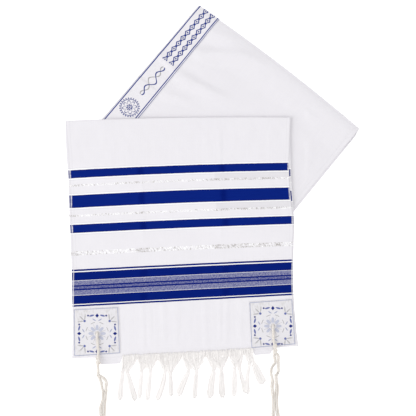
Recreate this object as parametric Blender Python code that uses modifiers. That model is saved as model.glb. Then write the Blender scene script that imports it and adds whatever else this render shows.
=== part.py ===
"""A folded tallit prayer shawl, lying flat on a table.

The shawl is one woven cloth, 457 x 1830 mm, folded in half at the middle of its
collar band, so that it is two layers deep. Its striped end lies in front. Behind the
top edge of that front stretch the two layers turn under, run a little way down, and
turn again along a slanting hidden fold, so that the middle of the shawl, with the
collar band on its neck edge, comes out behind at the upper right.

Units are metres. +X is to the right, +Y is towards the collar band, +Z is up, and the
table is z = 0. The origin is the middle of the footprint.
"""

import math
from collections import namedtuple

import bmesh
import bpy
from mathutils import Vector

# Cloth and seams
WALL = 0.0010
HEM_WALL = 0.0013
SEAM_GAP = 0.0003
SHEET_GAP = 0.0004
STACK_GAP = 0.0005
OVER_TABLE = 0.00015

# The hidden layers between the front stretch and the back stretch
CORE_THICK = 0.0023
# How far the core's edge is set back, from its underside to its top
CORE_EDGE = (0.0004, 0.0, 0.0012, 0.0, 0.0004)
CORE_COLUMNS = 10
CORE_ROWS = 6
CORE_SETBACK = 0.0015
CORE_TOP_SETBACK = 0.0076

# How the layers on top settle past what they lie on: how far past its edge they stay
# held up, and over what length they then come down.
Settle = namedtuple("Settle", "held down")
PAST_BACK = Settle(0.010, 0.090)
PAST_BAND = Settle(0.015, 0.060)
PAST_HIDDEN_FOLD = Settle(0.028, 0.060)

# The shawl's front stretch: sections from the hem up to its top fold.
# left and right are the edges of the upper layer, bow is how far the middle of the
# section stands above the straight line between them, and the peeks are how far the
# under layer shows past each edge. steps is the number of rows up to the next section.
Section = namedtuple("Section", "name left right bow peek_left peek_right steps")
FRONT_SECTIONS = (
    Section("hem", (-0.2856, -0.2350), (0.1744, -0.2097), -0.0022, -0.0010, -0.0010, 2),
    Section("band_foot", (-0.2838, -0.1279), (0.1626, -0.1040), 0.0, 0.0024, 0.0022, 2),
    Section("band_head", (-0.2834, -0.0563), (0.1620, -0.0351), 0.0007, 0.0037, 0.0022, 2),
    Section("low_stripe", (-0.2850, 0.0361), (0.1626, 0.0547), 0.0015, 0.0057, 0.0029, 3),
    Section("wide_stripe", (-0.2862, 0.0963), (0.1559, 0.1128), 0.0024, 0.0065, 0.0059, 2),
    Section("high_stripe", (-0.2874, 0.1477), (0.1538, 0.1632), 0.0024, 0.0067, 0.0065, 2),
    Section("plain", (-0.2901, 0.1999), (0.1550, 0.2101), 0.0028, 0.0067, 0.0041, 2),
    Section("top_fold", (-0.2978, 0.2489), (0.1575, 0.2564), 0.0030, 0.0010, 0.0010, 0),
)
FRONT_COLUMNS = (
    0.0, 0.0110, 0.0145, 0.06, 0.109, 0.122, 0.165, 0.2075, 0.2195, 0.30, 0.40, 0.50,
    0.60, 0.70, 0.80, 0.812, 0.85, 0.885, 0.897, 0.94, 0.9855, 0.989, 1.0,
)
HEM_COLUMNS = (0.0, 0.0110, 0.9890, 1.0)
# The under layer's hem hangs lower only between each tassel cord and the fringe.
LOW_HEM = 0.0118
LOW_HEM_SPANS = ((0.122, 0.2075), (0.812, 0.885))
FRINGE_SPAN = (0.2195, 0.80)
BEND_STEPS = 5
FOLD_LIP = 0.0040

# The shawl's back stretch, folded double at the shawl's middle.
NECK_CORNER = (-0.0275, 0.4839)
FAR_CORNER = (0.2989, 0.2336)
NECK_END = (-0.2742, 0.1954)
FAR_END = (0.1438, 0.0437)
MIDDLE_FOLD_BOW = 0.0057
BACK_WIDTH = 0.411
BACK_INNER_BEND = 0.0012
BACK_LOFT = 0.0020
BACK_LOFT_SETTLE = Settle(0.0, 0.032)
UNDER_PEEK = 0.0037
UNDER_PEEK_START = 0.02
BACK_COLUMNS = (
    0.0, 0.0015, 0.018, 0.035, 0.052, 0.068, 0.084, 0.100, 0.118, 0.136, 0.156, 0.178,
    0.202, 0.230, 0.260, 0.292, 0.326, 0.362, 0.398, 0.4045, 0.411,
)
BACK_HEM_COLUMNS = 2
BACK_ROWS = (
    0.0, 0.006, 0.014, 0.026, 0.040, 0.056, 0.072, 0.088, 0.104, 0.120, 0.136, 0.154,
    0.174, 0.198, 0.226, 0.260, 0.300, 0.340, 0.379,
)
BACK_UNDER_ROWS = (0.379, 0.260, 0.150, 0.060, 0.014)

# Soft ridges of the back stretch, which fan out from the collar band.
Ridge = namedtuple("Ridge", "start end height half_width")
RIDGES = (
    Ridge((-0.010, 0.424), (0.098, 0.388), 0.0018, 0.013),
    Ridge((-0.040, 0.384), (0.104, 0.326), 0.0023, 0.014),
    Ridge((-0.072, 0.342), (0.058, 0.284), 0.0021, 0.013),
    Ridge((-0.104, 0.304), (-0.014, 0.276), 0.0016, 0.012),
)
# Shares of a ridge's length: how far it starts before its first point, and over how much
# it rises and falls
RIDGE_LEAD = 0.10
RIDGE_RISE = 0.25
RIDGE_FALL = 0.60
# Ridges stay this far from the front stretch's top fold, and then come up over RIDGE_FADE.
RIDGE_KEEP_OFF = 0.014
RIDGE_FADE = 0.040

# The collar band, sewn on along the neck edge
BAND_COLUMNS = BACK_COLUMNS[1:5]
BAND_LENGTH = 0.340
BAND_LIFT = WALL + SEAM_GAP
BAND_BEND_STEPS = 3

# The corner patches
Patch = namedtuple("Patch", "upper_left upper_right lower_right lower_left eyelet")
PATCHES = {
    "corner_patch_left": Patch(
        (-0.2834, -0.1345), (-0.1915, -0.1298), (-0.1876, -0.2250), (-0.2822, -0.2315), (-0.2350, -0.1842),
    ),
    "corner_patch_right": Patch(
        (0.0742, -0.1200), (0.1631, -0.1134), (0.1696, -0.2067), (0.0786, -0.2148), (0.1228, -0.1690),
    ),
}
PATCH_WALL = 0.0010
PATCH_ROUND = 0.0025
EYELET = 0.0088
EYELET_SIDES = 12

# The fringe: a strip of loose weave, and tassels that gather it
FRINGE_STRIP = 0.0140
FRINGE_STRIP_STEPS = 14
FRINGE_NOTCHES = (-0.1835, -0.1534, -0.1116, -0.0632, -0.0133, 0.0337, 0.0632, 0.0810)
FAN_STRANDS = 5
SKIRT_STRANDS = 5
STRAND = 0.0011
# Half the width of a strand's flat side, as a share of its thickness
STRAND_SIDE = 0.55
FAN_HEIGHTS = {"front": (0.0020, 0.0025), "under": (0.00075, 0.00075)}
KNOT_SIZE = (0.0052, 0.0072, 0.0030)
# How far strands reach into the strip and into a knot
STRIP_HOLD = 0.002
KNOT_HOLD = 0.0013
# Widths of the gathered fan, and of the skirt's head and waist, as shares
FAN_GATHER = 0.5
SKIRT_GATHER = 0.7
SKIRT_FLARE = 0.75
SKIRT_WAIST = 0.45
SKIRT_SHORTER = 0.004
Tassel = namedtuple("Tassel", "knot tip tip_width")
TASSELS = {
    "under": (
        Tassel((-0.1830, -0.2632), (-0.1895, -0.3211), 0.0070),
        Tassel((-0.1444, -0.2611), (-0.1489, -0.3168), 0.0052),
        Tassel((-0.0969, -0.2621), (-0.1132, -0.3211), 0.0080),
        Tassel((-0.0490, -0.2611), (-0.0694, -0.3117), 0.0105),
        Tassel((0.0024, -0.2611), (-0.0059, -0.3162), 0.0130),
        Tassel((0.0451, -0.2550), (0.0433, -0.3135), 0.0075),
        Tassel((0.0757, -0.2468), (0.0745, -0.3080), 0.0052),
    ),
    "front": (
        Tassel((-0.1734, -0.2632), (-0.1605, -0.3219), 0.0078),
        Tassel((-0.1267, -0.2611), (-0.1324, -0.3211), 0.0078),
        Tassel((-0.0861, -0.2672), (-0.0847, -0.3121), 0.0078),
        Tassel((-0.0330, -0.2621), (-0.0384, -0.3168), 0.0082),
        Tassel((0.0180, -0.2591), (0.0200, -0.3154), 0.0112),
        Tassel((0.0551, -0.2570), (0.0645, -0.3060), 0.0058),
        Tassel((0.0847, -0.2458), (0.1020, -0.2887), 0.0130),
    ),
}

# The ritual tassels at the corners: a cord from the eyelet to a knot at the hem and one
# below it, and then two legs, each with a knot of its own and four free strands.
# Routes are (x, y) points.
TZITZIT_CORD = 0.0044
TZITZIT_LEG = 0.0046
TZITZIT_STRAND = 0.0017
TZITZIT_STRANDS = 4
STRAND_PITCH = 0.0022
STRAND_SPREAD = 0.9
STRAND_SHORTER = 0.004
STRAND_ROOT = 0.0045
HEM_KNOT = (0.0095, 0.0190, 0.0070)
MID_KNOT = (0.0078, 0.0090, 0.0062)
LEG_KNOT = (0.0064, 0.0080, 0.0056)
MID_KNOT_DROP = 0.62
LEG_DROP = 0.35
TAIL_END = -0.4840
Leg = namedtuple("Leg", "route knot tail")
Tzitzit = namedtuple("Tzitzit", "cord hem_knot mid_knot legs")
TZITZITS = {
    "tzitzit_left": Tzitzit(
        cord=((-0.2350, -0.1842), (-0.2348, -0.1874), (-0.2336, -0.2050), (-0.2323, -0.2200)),
        hem_knot=(-0.2327, -0.2395),
        mid_knot=(-0.2323, -0.2693),
        legs=(
            Leg(
                route=((-0.2295, -0.2776), (-0.2270, -0.2848), (-0.2252, -0.2946)),
                knot=(-0.2270, -0.2848),
                tail=(
                    (-0.2252, -0.2946), (-0.2232, -0.3040), (-0.2237, -0.3209), (-0.2268, -0.3330),
                    (-0.2270, -0.3529), (-0.2262, -0.4000), (-0.2290, -0.4400), (-0.2300, TAIL_END),
                ),
            ),
            Leg(
                route=((-0.2250, -0.2725), (-0.2200, -0.2765), (-0.2162, -0.2830), (-0.2164, -0.2934)),
                knot=(-0.2162, -0.2880),
                tail=(
                    (-0.2164, -0.2934), (-0.2172, -0.3029), (-0.2190, -0.3140), (-0.2204, -0.3300),
                    (-0.2208, -0.3529), (-0.2200, -0.4000), (-0.2180, -0.4400), (-0.2165, TAIL_END),
                ),
            ),
        ),
    ),
    "tzitzit_right": Tzitzit(
        cord=((0.1228, -0.1690), (0.1229, -0.1722), (0.1234, -0.1850), (0.1242, -0.1990)),
        hem_knot=(0.1272, -0.2140),
        mid_knot=(0.1275, -0.2235),
        legs=(
            Leg(
                route=(
                    (0.1257, -0.2283), (0.1269, -0.2372), (0.1273, -0.2442), (0.1229, -0.2500),
                    (0.1200, -0.2556), (0.1189, -0.2650), (0.1208, -0.2730),
                ),
                knot=(0.1191, -0.2628),
                tail=(
                    (0.1208, -0.2730), (0.1224, -0.2817), (0.1218, -0.2934), (0.1230, -0.3036),
                    (0.1242, -0.3174), (0.1240, -0.3315), (0.1228, -0.3520), (0.1215, -0.4000),
                    (0.1230, -0.4400), (0.1220, TAIL_END),
                ),
            ),
            Leg(
                route=(
                    (0.1335, -0.2283), (0.1340, -0.2397), (0.1341, -0.2526), (0.1342, -0.2613),
                    (0.1300, -0.2703), (0.1304, -0.2790),
                ),
                knot=(0.1300, -0.2703),
                tail=(
                    (0.1304, -0.2790), (0.1308, -0.2840), (0.1318, -0.2919), (0.1318, -0.3036),
                    (0.1306, -0.3162), (0.1310, -0.3315), (0.1330, -0.3520), (0.1345, -0.4000),
                    (0.1330, -0.4400), (0.1350, TAIL_END),
                ),
            ),
        ),
    ),
}

# Finishes: colour, roughness
WHITE_CLOTH = ((0.88, 0.87, 0.90), 0.85)
HIDDEN_CLOTH = ((0.84, 0.83, 0.87), 0.90)
BAND_CLOTH = ((0.80, 0.81, 0.88), 0.70)
PATCH_CLOTH = ((0.83, 0.84, 0.90), 0.60)
FRINGE_YARN = ((0.86, 0.85, 0.83), 0.90)
TZITZIT_YARN = ((0.80, 0.76, 0.69), 0.90)


def clear_scene():
    for old in list(bpy.data.objects):
        bpy.data.objects.remove(old)


def smooth(share):
    """0 below 0, 1 above 1, and an even S curve between them."""
    share = min(1.0, max(0.0, share))
    return share * share * (3 - 2 * share)


def held_up(distance, settle):
    """1 while the cloth past an edge is held up, and then smoothly down to 0."""
    return 1.0 - smooth((distance - settle.held) / settle.down)


def beyond(point, line_from, line_to):
    """How far a point lies to the right of the line, seen along it."""
    run_x, run_y = line_to[0] - line_from[0], line_to[1] - line_from[1]
    cross = (point[0] - line_from[0]) * run_y - (point[1] - line_from[1]) * run_x
    return cross / math.hypot(run_x, run_y)


def between(a, b, share):
    """The point at a share of the way from a to b."""
    return tuple(p + (q - p) * share for p, q in zip(a, b))


# Heights of the stack

BACK_TOP = 2 * WALL + SHEET_GAP
BAND_RISE = SEAM_GAP + WALL
FRONT_TOP = WALL + SHEET_GAP + HEM_WALL


def back_support(x, y):
    """Top of the back stretch, drawn out beyond its edges as cloth laid on it bridges them."""
    neck_out = beyond((x, y), NECK_CORNER, NECK_END)
    far_out = -beyond((x, y), FAR_CORNER, FAR_END)
    band_out = max(neck_out, -neck_out - BAND_COLUMNS[-1])
    plain = BACK_TOP * held_up(max(neck_out, far_out), PAST_BACK)
    return plain + BAND_RISE * held_up(band_out, PAST_BAND)


def below_hidden_fold(x, y):
    """How far a point lies below the slanting hidden fold."""
    return beyond((x, y), NECK_END, FAR_END)


def under_layer_base(x, y):
    """Underside of the front stretch's under layer."""
    held = held_up(below_hidden_fold(x, y), PAST_HIDDEN_FOLD)
    return (back_support(x, y) + CORE_THICK + 2 * STACK_GAP) * held


def front_layer_base(x, y):
    """Underside of the front stretch's upper layer."""
    return under_layer_base(x, y) + WALL + SHEET_GAP


# Meshes and modifiers


def new_object(name, mesh, finish):
    """Links a mesh as a part, with a material of its own."""
    colour, roughness = finish
    material = bpy.data.materials.new(name)
    material.use_nodes = True
    shader = material.node_tree.nodes["Principled BSDF"]
    shader.inputs["Base Color"].default_value = (*colour, 1.0)
    shader.inputs["Roughness"].default_value = roughness
    shader.inputs["Metallic"].default_value = 0.0
    mesh.materials.append(material)
    mesh.shade_smooth()
    mesh.set_sharp_from_angle(angle=math.radians(50))
    part = bpy.data.objects.new(name, mesh)
    bpy.data.collections["folded_tallit"].objects.link(part)
    return part


def cloth_surface(columns, rows, point_at, is_hem=lambda column, row: False):
    """A grid mesh whose points follow point_at(column, row). Hems are marked as thicker."""
    grid = bmesh.new()
    bmesh.ops.create_grid(grid, x_segments=len(columns) - 1, y_segments=len(rows) - 1, size=0.5)
    weight = grid.verts.layers.deform.verify()
    for vertex in grid.verts:
        column = columns[round((vertex.co.x + 0.5) * (len(columns) - 1))]
        row = rows[round((vertex.co.y + 0.5) * (len(rows) - 1))]
        vertex[weight][0] = 1.0 if is_hem(column, row) else WALL / HEM_WALL
        vertex.co = point_at(column, row)
    return grid


def cloth_wall(name, surface, finish):
    """Gives a surface its wall, grown from its inner face outwards and thicker at hems."""
    mesh = bpy.data.meshes.new(name)
    surface.to_mesh(mesh)
    surface.free()
    part = new_object(name, mesh, finish)
    wall = part.modifiers.new("wall", "SOLIDIFY")
    wall.thickness = HEM_WALL
    wall.offset = 1.0
    wall.use_even_offset = True
    wall.use_quality_normals = True
    wall.vertex_group = part.vertex_groups.new(name="wall").name


# The front stretch


def front_edge_points(section, u, peek=0.0):
    """A point of a section: u runs from the left edge to the right one."""
    left = (section.left[0] - peek * section.peek_left, section.left[1])
    right = (section.right[0] + peek * section.peek_right, section.right[1])
    if 0.0 < u < 1.0:
        left, right = section.left, section.right
    x, y = between(left, right, u)
    return x, y + section.bow * 4 * u * (1 - u)


def front_rows():
    """Rows from the hem to the top fold, as (section number, share of the way to the next)."""
    rows = []
    for number, section in enumerate(FRONT_SECTIONS[:-1]):
        rows += [(number, step / section.steps) for step in range(section.steps)]
    return rows + [(len(FRONT_SECTIONS) - 2, 1.0)]


def front_plan(u, row, peek=0.0):
    number, share = row
    lower = front_edge_points(FRONT_SECTIONS[number], u, peek)
    upper = front_edge_points(FRONT_SECTIONS[number + 1], u, peek)
    return between(lower, upper, share)


def top_bend(u):
    """Centre and inner radius of the top fold's bend."""
    x, y = front_plan(u, front_rows()[-1])
    above = front_layer_base(x, y)
    below = back_support(x, y) + SEAM_GAP + HEM_WALL
    radius = (above - below) / 2
    centre = (x, y - radius - WALL, below + radius)
    return centre, radius


def front_layer_point(u, row):
    """A point of the upper layer's inner face. A row is a plan row, an angle or the lip."""
    kind, value = row
    if kind == "plan":
        x, y = front_plan(u, value)
        (_, top_y, _), _ = top_bend(u)
        y = min(y, top_y)
        return x, y, front_layer_base(x, y)
    (x, y, z), radius = top_bend(u)
    if kind == "angle":
        return x, y + radius * math.sin(value), z + radius * math.cos(value)
    return x, y - value, back_support(x, y - value) + SEAM_GAP + HEM_WALL


def build_front_panel():
    rows = [("plan", row) for row in front_rows()]
    rows += [("angle", math.pi * step / BEND_STEPS) for step in range(1, BEND_STEPS + 1)]
    rows += [("lip", FOLD_LIP)]
    surface = cloth_surface(FRONT_COLUMNS, rows, front_layer_point, lambda u, row: u in HEM_COLUMNS)
    cloth_wall("front_panel", surface, WHITE_CLOTH)


def front_under_point(u, row):
    """A point of the under layer, which shares the upper one's plan apart from its edges."""
    x, y = front_plan(u, row, peek=1.0)
    (_, top_y, _), _ = top_bend(u)
    y = min(y, top_y)
    if row == front_rows()[0]:
        y -= sum(LOW_HEM for start, end in LOW_HEM_SPANS if start <= u <= end)
    return x, y, under_layer_base(x, y)


def build_front_under_panel():
    surface = cloth_surface(FRONT_COLUMNS, front_rows(), front_under_point)
    cloth_wall("front_under_panel", surface, WHITE_CLOTH)


# The hidden layers


def core_base(x, y):
    return back_support(x, y) + STACK_GAP


def core_point(u, v):
    """A point of the underside: u runs to the right, and v from the hidden fold upwards."""
    slope = (FAR_END[1] - NECK_END[1]) / (FAR_END[0] - NECK_END[0])
    top_x, top_y = front_plan(u, front_rows()[-1])
    foot_x = between(FRONT_SECTIONS[-2].left, FRONT_SECTIONS[-2].right, u)[0]
    foot_y = NECK_END[1] + slope * (foot_x - NECK_END[0])
    x, y = between((foot_x, foot_y), (top_x, top_y - CORE_TOP_SETBACK), v)
    x += CORE_SETBACK * (1 - 2 * u)
    return x, y, core_base(x, y)


def build_folded_core():
    """One solid for the two hidden layers, rounded at its edge, with a groove between them."""
    columns = [step / CORE_COLUMNS for step in range(CORE_COLUMNS + 1)]
    rows = [step / CORE_ROWS for step in range(CORE_ROWS + 1)]
    core = cloth_surface(columns, rows, core_point)
    bmesh.ops.solidify(core, geom=core.faces[:], thickness=-CORE_THICK)
    bmesh.ops.recalc_face_normals(core, faces=core.faces)
    upright = [e for e in core.edges if (e.verts[0].co - e.verts[1].co).length < 1.1 * CORE_THICK]
    bmesh.ops.subdivide_edges(core, edges=upright, cuts=len(CORE_EDGE) - 2, use_grid_fill=True)
    core.normal_update()
    for vertex in [v for v in core.verts if len(v.link_faces) < 4 or abs(v.normal.z) < 0.9]:
        share = (vertex.co.z - core_base(vertex.co.x, vertex.co.y)) / CORE_THICK
        setback = CORE_EDGE[round(share * (len(CORE_EDGE) - 1))]
        outward = Vector((vertex.normal.x, vertex.normal.y, 0.0)).normalized()
        vertex.co -= outward * setback
    mesh = bpy.data.meshes.new("folded_core")
    core.to_mesh(mesh)
    core.free()
    new_object("folded_core", mesh, HIDDEN_CLOTH)


# The back stretch


def back_plan(across, along, peek=0.0):
    """A point at a distance across from the neck edge and along from the middle fold."""
    t = across / BACK_WIDTH
    fold = between(NECK_CORNER, FAR_CORNER, t)
    end = between(NECK_END, FAR_END, t)
    run = Vector((end[0] - fold[0], end[1] - fold[1]))
    share = min(1.0, along / run.length) if along < BACK_ROWS[-1] else 1.0
    across_way = Vector((FAR_CORNER[0] - NECK_CORNER[0], FAR_CORNER[1] - NECK_CORNER[1])).normalized()
    outward = Vector((-across_way.y, across_way.x))
    bow = MIDDLE_FOLD_BOW * 4 * t * (1 - t) * (1 - share) ** 2
    side = across_way * peek * smooth(along / UNDER_PEEK_START) * (across == BACK_WIDTH)
    place = Vector(fold) + run * share + outward * bow + side
    return place.x, place.y


def ridge_height(x, y):
    """Height of the soft ridges at a point of the back stretch."""
    height = 0.0
    for ridge in RIDGES:
        run = Vector(ridge.end) - Vector(ridge.start)
        offset = Vector((x, y)) - Vector(ridge.start)
        share = offset.dot(run) / run.length_squared
        away = abs(offset.x * run.y - offset.y * run.x) / run.length
        along = smooth((share + RIDGE_LEAD) / RIDGE_RISE) * smooth((1.0 - share) / RIDGE_FALL)
        height += ridge.height * along * math.exp(-((away / ridge.half_width) ** 2))
    top_y = between(FRONT_SECTIONS[-1].left, FRONT_SECTIONS[-1].right, 0.5)[1]
    return height * smooth((y - top_y - RIDGE_KEEP_OFF) / RIDGE_FADE)


def back_point(across, station, lift=0.0):
    """A point of the folded profile: lift is measured outwards from its inner face."""
    kind, value = station
    inset = BACK_INNER_BEND + WALL
    if kind == "bend":
        x, y = back_plan(across, 0.0)
        inner_x, inner_y = back_plan(across, BACK_ROWS[2])
        way = Vector((x - inner_x, y - inner_y)).normalized()
        reach = (BACK_INNER_BEND + lift) * math.sin(value) - inset
        z = WALL + BACK_INNER_BEND - (BACK_INNER_BEND + lift) * math.cos(value)
        return x + way.x * reach, y + way.y * reach, z
    if kind == "under":
        x, y = back_plan(across, value + inset, UNDER_PEEK)
        return x, y, WALL - lift
    x, y = back_plan(across, value + inset)
    loft = BACK_LOFT * held_up(value, BACK_LOFT_SETTLE)
    settled = WALL + SHEET_GAP
    rise = loft + ridge_height(x, y) * smooth(value / BACK_ROWS[3])
    return x, y, settled + rise + lift


def upper_stations():
    return [("upper", row) for row in BACK_ROWS]


def build_back_panel():
    stations = [("under", row) for row in BACK_UNDER_ROWS]
    stations += [("bend", math.pi * step / BEND_STEPS) for step in range(BEND_STEPS)]
    stations += upper_stations()
    hem = BACK_COLUMNS[-BACK_HEM_COLUMNS:]
    surface = cloth_surface(
        BACK_COLUMNS[::-1], stations, back_point, lambda across, s: across in hem and s[0] == "upper",
    )
    cloth_wall("back_panel", surface, WHITE_CLOTH)


def build_collar_band():
    """The band lies on the back stretch's points, and turns over the middle fold."""
    stations = [("bend", math.pi * (1 + step / BAND_BEND_STEPS) / 2) for step in range(BAND_BEND_STEPS)]
    stations += [s for s in upper_stations() if s[1] <= BAND_LENGTH]
    surface = cloth_surface(BAND_COLUMNS[::-1], stations, lambda a, s: back_point(a, s, BAND_LIFT))
    cloth_wall("collar_band", surface, BAND_CLOTH)


# Patches


def eyelet_cutter(name, eyelet, height):
    """A round peg that cuts an eyelet."""
    peg = bmesh.new()
    radius = EYELET / 2
    bmesh.ops.create_cone(
        peg, cap_ends=True, segments=EYELET_SIDES, radius1=radius, radius2=radius, depth=6 * PATCH_WALL,
    )
    bmesh.ops.translate(peg, vec=(*eyelet, height), verts=peg.verts)
    mesh = bpy.data.meshes.new(name)
    peg.to_mesh(mesh)
    peg.free()
    return link_helper(bpy.data.objects.new(name, mesh))


def build_patch(name, corners, eyelet):
    """A flat patch with softly rounded corners and an eyelet for the ritual tassel."""
    base = FRONT_TOP + SEAM_GAP
    flat = bmesh.new()
    flat.faces.new([flat.verts.new((x, y, base)) for x, y in reversed(corners)])
    bmesh.ops.bevel(flat, geom=flat.verts[:], offset=PATCH_ROUND, segments=3, profile=0.5, affect="VERTICES")
    mesh = bpy.data.meshes.new(name)
    flat.to_mesh(mesh)
    flat.free()
    patch = new_object(name, mesh, PATCH_CLOTH)
    wall = patch.modifiers.new("wall", "SOLIDIFY")
    wall.thickness = PATCH_WALL
    wall.offset = 1.0
    hole = patch.modifiers.new("eyelet", "BOOLEAN")
    hole.operation = "DIFFERENCE"
    hole.object = eyelet_cutter(name + "_eyelet", eyelet, base)


# Yarn


def three_sided_profile():
    """A guide curve: the section of a strand 1 m thick, lying with one side down."""
    curve = bpy.data.curves.new("strand_section", "CURVE")
    spline = curve.splines.new("POLY")
    spline.points.add(2)
    for control, (x, y) in zip(spline.points, ((STRAND_SIDE, -0.5), (0.0, 0.5), (-STRAND_SIDE, -0.5))):
        control.co = (x, y, 0.0, 1.0)
    spline.use_cyclic_u = True
    return link_helper(bpy.data.objects.new("strand_section", curve))


def link_helper(helper):
    """Links a guide or a cutter, which isn't a part of the shawl."""
    helper.hide_render = True
    helper.display_type = "WIRE"
    bpy.data.collections["cutters"].objects.link(helper)
    return helper


def add_strands(work, strands):
    """Adds closed strands of three sides. A strand is (points, thickness)."""
    section = three_sided_profile()
    curve = bpy.data.curves.new("yarn", "CURVE")
    curve.dimensions = "3D"
    curve.twist_mode = "Z_UP"
    curve.bevel_mode = "OBJECT"
    curve.bevel_object = section
    curve.use_fill_caps = True
    for points, thickness in strands:
        spline = curve.splines.new("POLY")
        spline.points.add(len(points) - 1)
        for control, point in zip(spline.points, points):
            control.co = (*point, 1.0)
            control.radius = thickness
    carrier = link_helper(bpy.data.objects.new("yarn", curve))
    graph = bpy.context.evaluated_depsgraph_get()
    mesh = bpy.data.meshes.new_from_object(carrier.evaluated_get(graph))
    work.from_mesh(mesh)
    bpy.data.objects.remove(carrier)
    bpy.data.objects.remove(section)
    bmesh.ops.remove_doubles(work, verts=work.verts, dist=1e-6)


def add_knot(work, centre, size):
    """Adds a knot, as a small ball drawn out to its size."""
    made = bmesh.ops.create_uvsphere(work, u_segments=7, v_segments=4, radius=0.5)
    bmesh.ops.scale(work, vec=size, verts=made["verts"])
    bmesh.ops.translate(work, vec=centre, verts=made["verts"])


def yarn_mesh(name, strands, knots):
    """One mesh of closed strands and knots. A knot is (centre, size)."""
    work = bmesh.new()
    if strands:
        add_strands(work, strands)
    for centre, size in knots:
        add_knot(work, centre, size)
    bmesh.ops.recalc_face_normals(work, faces=work.faces)
    mesh = bpy.data.meshes.new(name)
    work.to_mesh(mesh)
    work.free()
    return mesh


def fused(name, base_mesh, yarn, finish):
    """The base and all the strands and knots, joined into one body."""
    helper = link_helper(bpy.data.objects.new(name + "_yarn", yarn))
    part = new_object(name, base_mesh, finish)
    joined = part.modifiers.new("joined", "BOOLEAN")
    joined.operation = "UNION"
    joined.object = helper
    joined.use_self = True
    joined.use_hole_tolerant = True
    return part


def strip_mesh(layer):
    """The strip of loose weave, as a closed slab just below the cloth's edge."""
    low = OVER_TABLE if layer == "under" else WALL + SHEET_GAP
    high = WALL if layer == "under" else 2 * WALL + SHEET_GAP
    start, end = FRINGE_SPAN
    slab = bmesh.new()
    bmesh.ops.create_cube(slab, size=1.0)
    long_edges = [e for e in slab.edges if abs(e.verts[0].co.x - e.verts[1].co.x) > 0.5]
    bmesh.ops.subdivide_edges(slab, edges=long_edges, cuts=FRINGE_STRIP_STEPS - 1)
    for vertex in slab.verts:
        u = start + (end - start) * (vertex.co.x + 0.5)
        x, y = front_plan(u, front_rows()[0])
        drop = SEAM_GAP if vertex.co.y > 0 else FRINGE_STRIP
        vertex.co = (x, y - drop, high if vertex.co.z > 0 else low)
    mesh = bpy.data.meshes.new("fringe_strip")
    slab.to_mesh(mesh)
    slab.free()
    return mesh


def strip_foot(x):
    """The strip's lower edge at x."""
    hem = FRONT_SECTIONS[0]
    u = (x - hem.left[0]) / (hem.right[0] - hem.left[0])
    return front_plan(u, front_rows()[0])[1] - FRINGE_STRIP


def build_fringe(name, layer):
    """Each tassel gathers a fan of strands into a knot, and opens again in a skirt."""
    root_height, gathered_height = FAN_HEIGHTS[layer]
    skirt_height = OVER_TABLE + STRAND / 2
    knot_height = OVER_TABLE + KNOT_SIZE[2] / 2
    strands, knots = [], []
    for tassel, first, last in zip(TASSELS[layer], FRINGE_NOTCHES, FRINGE_NOTCHES[1:]):
        knot_x, knot_y = tassel.knot
        knots.append(((knot_x, knot_y, knot_height), KNOT_SIZE))
        for number in range(FAN_STRANDS):
            share = (number + 0.5) / FAN_STRANDS
            root_x = first + (last - first) * share
            root = (root_x, strip_foot(root_x) + STRIP_HOLD, root_height)
            side = (share - 0.5) * KNOT_SIZE[0] * FAN_GATHER
            strands.append(((root, (knot_x + side, knot_y + KNOT_HOLD, gathered_height)), STRAND))
        tip_x, tip_y = tassel.tip
        waist_x, waist_y = between(tassel.knot, tassel.tip, SKIRT_WAIST)
        for number in range(SKIRT_STRANDS):
            share = number / (SKIRT_STRANDS - 1) - 0.5
            head = (knot_x + share * KNOT_SIZE[0] * SKIRT_GATHER, knot_y - KNOT_HOLD, knot_height)
            waist = (waist_x + share * tassel.tip_width * SKIRT_FLARE, waist_y, skirt_height + STRAND / 2)
            foot = (tip_x + share * tassel.tip_width, tip_y + SKIRT_SHORTER * abs(share), skirt_height)
            strands.append(((head, waist, foot), STRAND))
    fused(name, strip_mesh(layer), yarn_mesh(name, strands, knots), FRINGE_YARN)


def free_strands(tail, height):
    """The strands of a leg, two beside each other and two on top of them."""
    strands = []
    last = len(tail) - 1
    for number in range(TZITZIT_STRANDS):
        side = (number % 2 - 0.5) * STRAND_PITCH
        level = height + (number // 2) * STRAND_PITCH
        points = []
        for step, (x, y) in enumerate(tail):
            shorter = STRAND_SHORTER * number if step == last else 0.0
            points.append((x + side * (1.0 + STRAND_SPREAD * step / last), y + shorter, level))
        x, y = tail[0]
        points[0] = (x + side / 2, y + STRAND_ROOT, OVER_TABLE + TZITZIT_LEG / 2)
        strands.append((points, TZITZIT_STRAND))
    return strands


def build_tzitzit(name, plan):
    """A cord from the eyelet, two knots, and two legs that end in free strands."""
    patch_top = FRONT_TOP + SEAM_GAP + PATCH_WALL
    on_patch = patch_top + SEAM_GAP + TZITZIT_CORD / 2
    hem = (*plan.hem_knot, patch_top + SEAM_GAP + HEM_KNOT[2] / 2)
    mid = (*plan.mid_knot, max(OVER_TABLE + MID_KNOT[2] / 2, hem[2] * MID_KNOT_DROP))
    leg_height = OVER_TABLE + TZITZIT_LEG / 2
    cord = [(x, y, on_patch) for x, y in plan.cord]
    cord[0] = (*plan.cord[0], on_patch - PATCH_WALL)
    strands = [(cord + [hem, mid], TZITZIT_CORD)]
    knots = [(mid, MID_KNOT)]
    for leg in plan.legs:
        route = [mid]
        for number, (x, y) in enumerate(leg.route, 1):
            route.append((x, y, max(leg_height, mid[2] * (1 - LEG_DROP * number))))
        strands.append((route, TZITZIT_LEG))
        strands += free_strands(leg.tail, OVER_TABLE + TZITZIT_STRAND / 2)
        knots.append(((*leg.knot, OVER_TABLE + LEG_KNOT[2] / 2), LEG_KNOT))
    base = yarn_mesh(name, [], [(hem, HEM_KNOT)])
    fused(name, base, yarn_mesh(name, strands, knots), TZITZIT_YARN)


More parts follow.
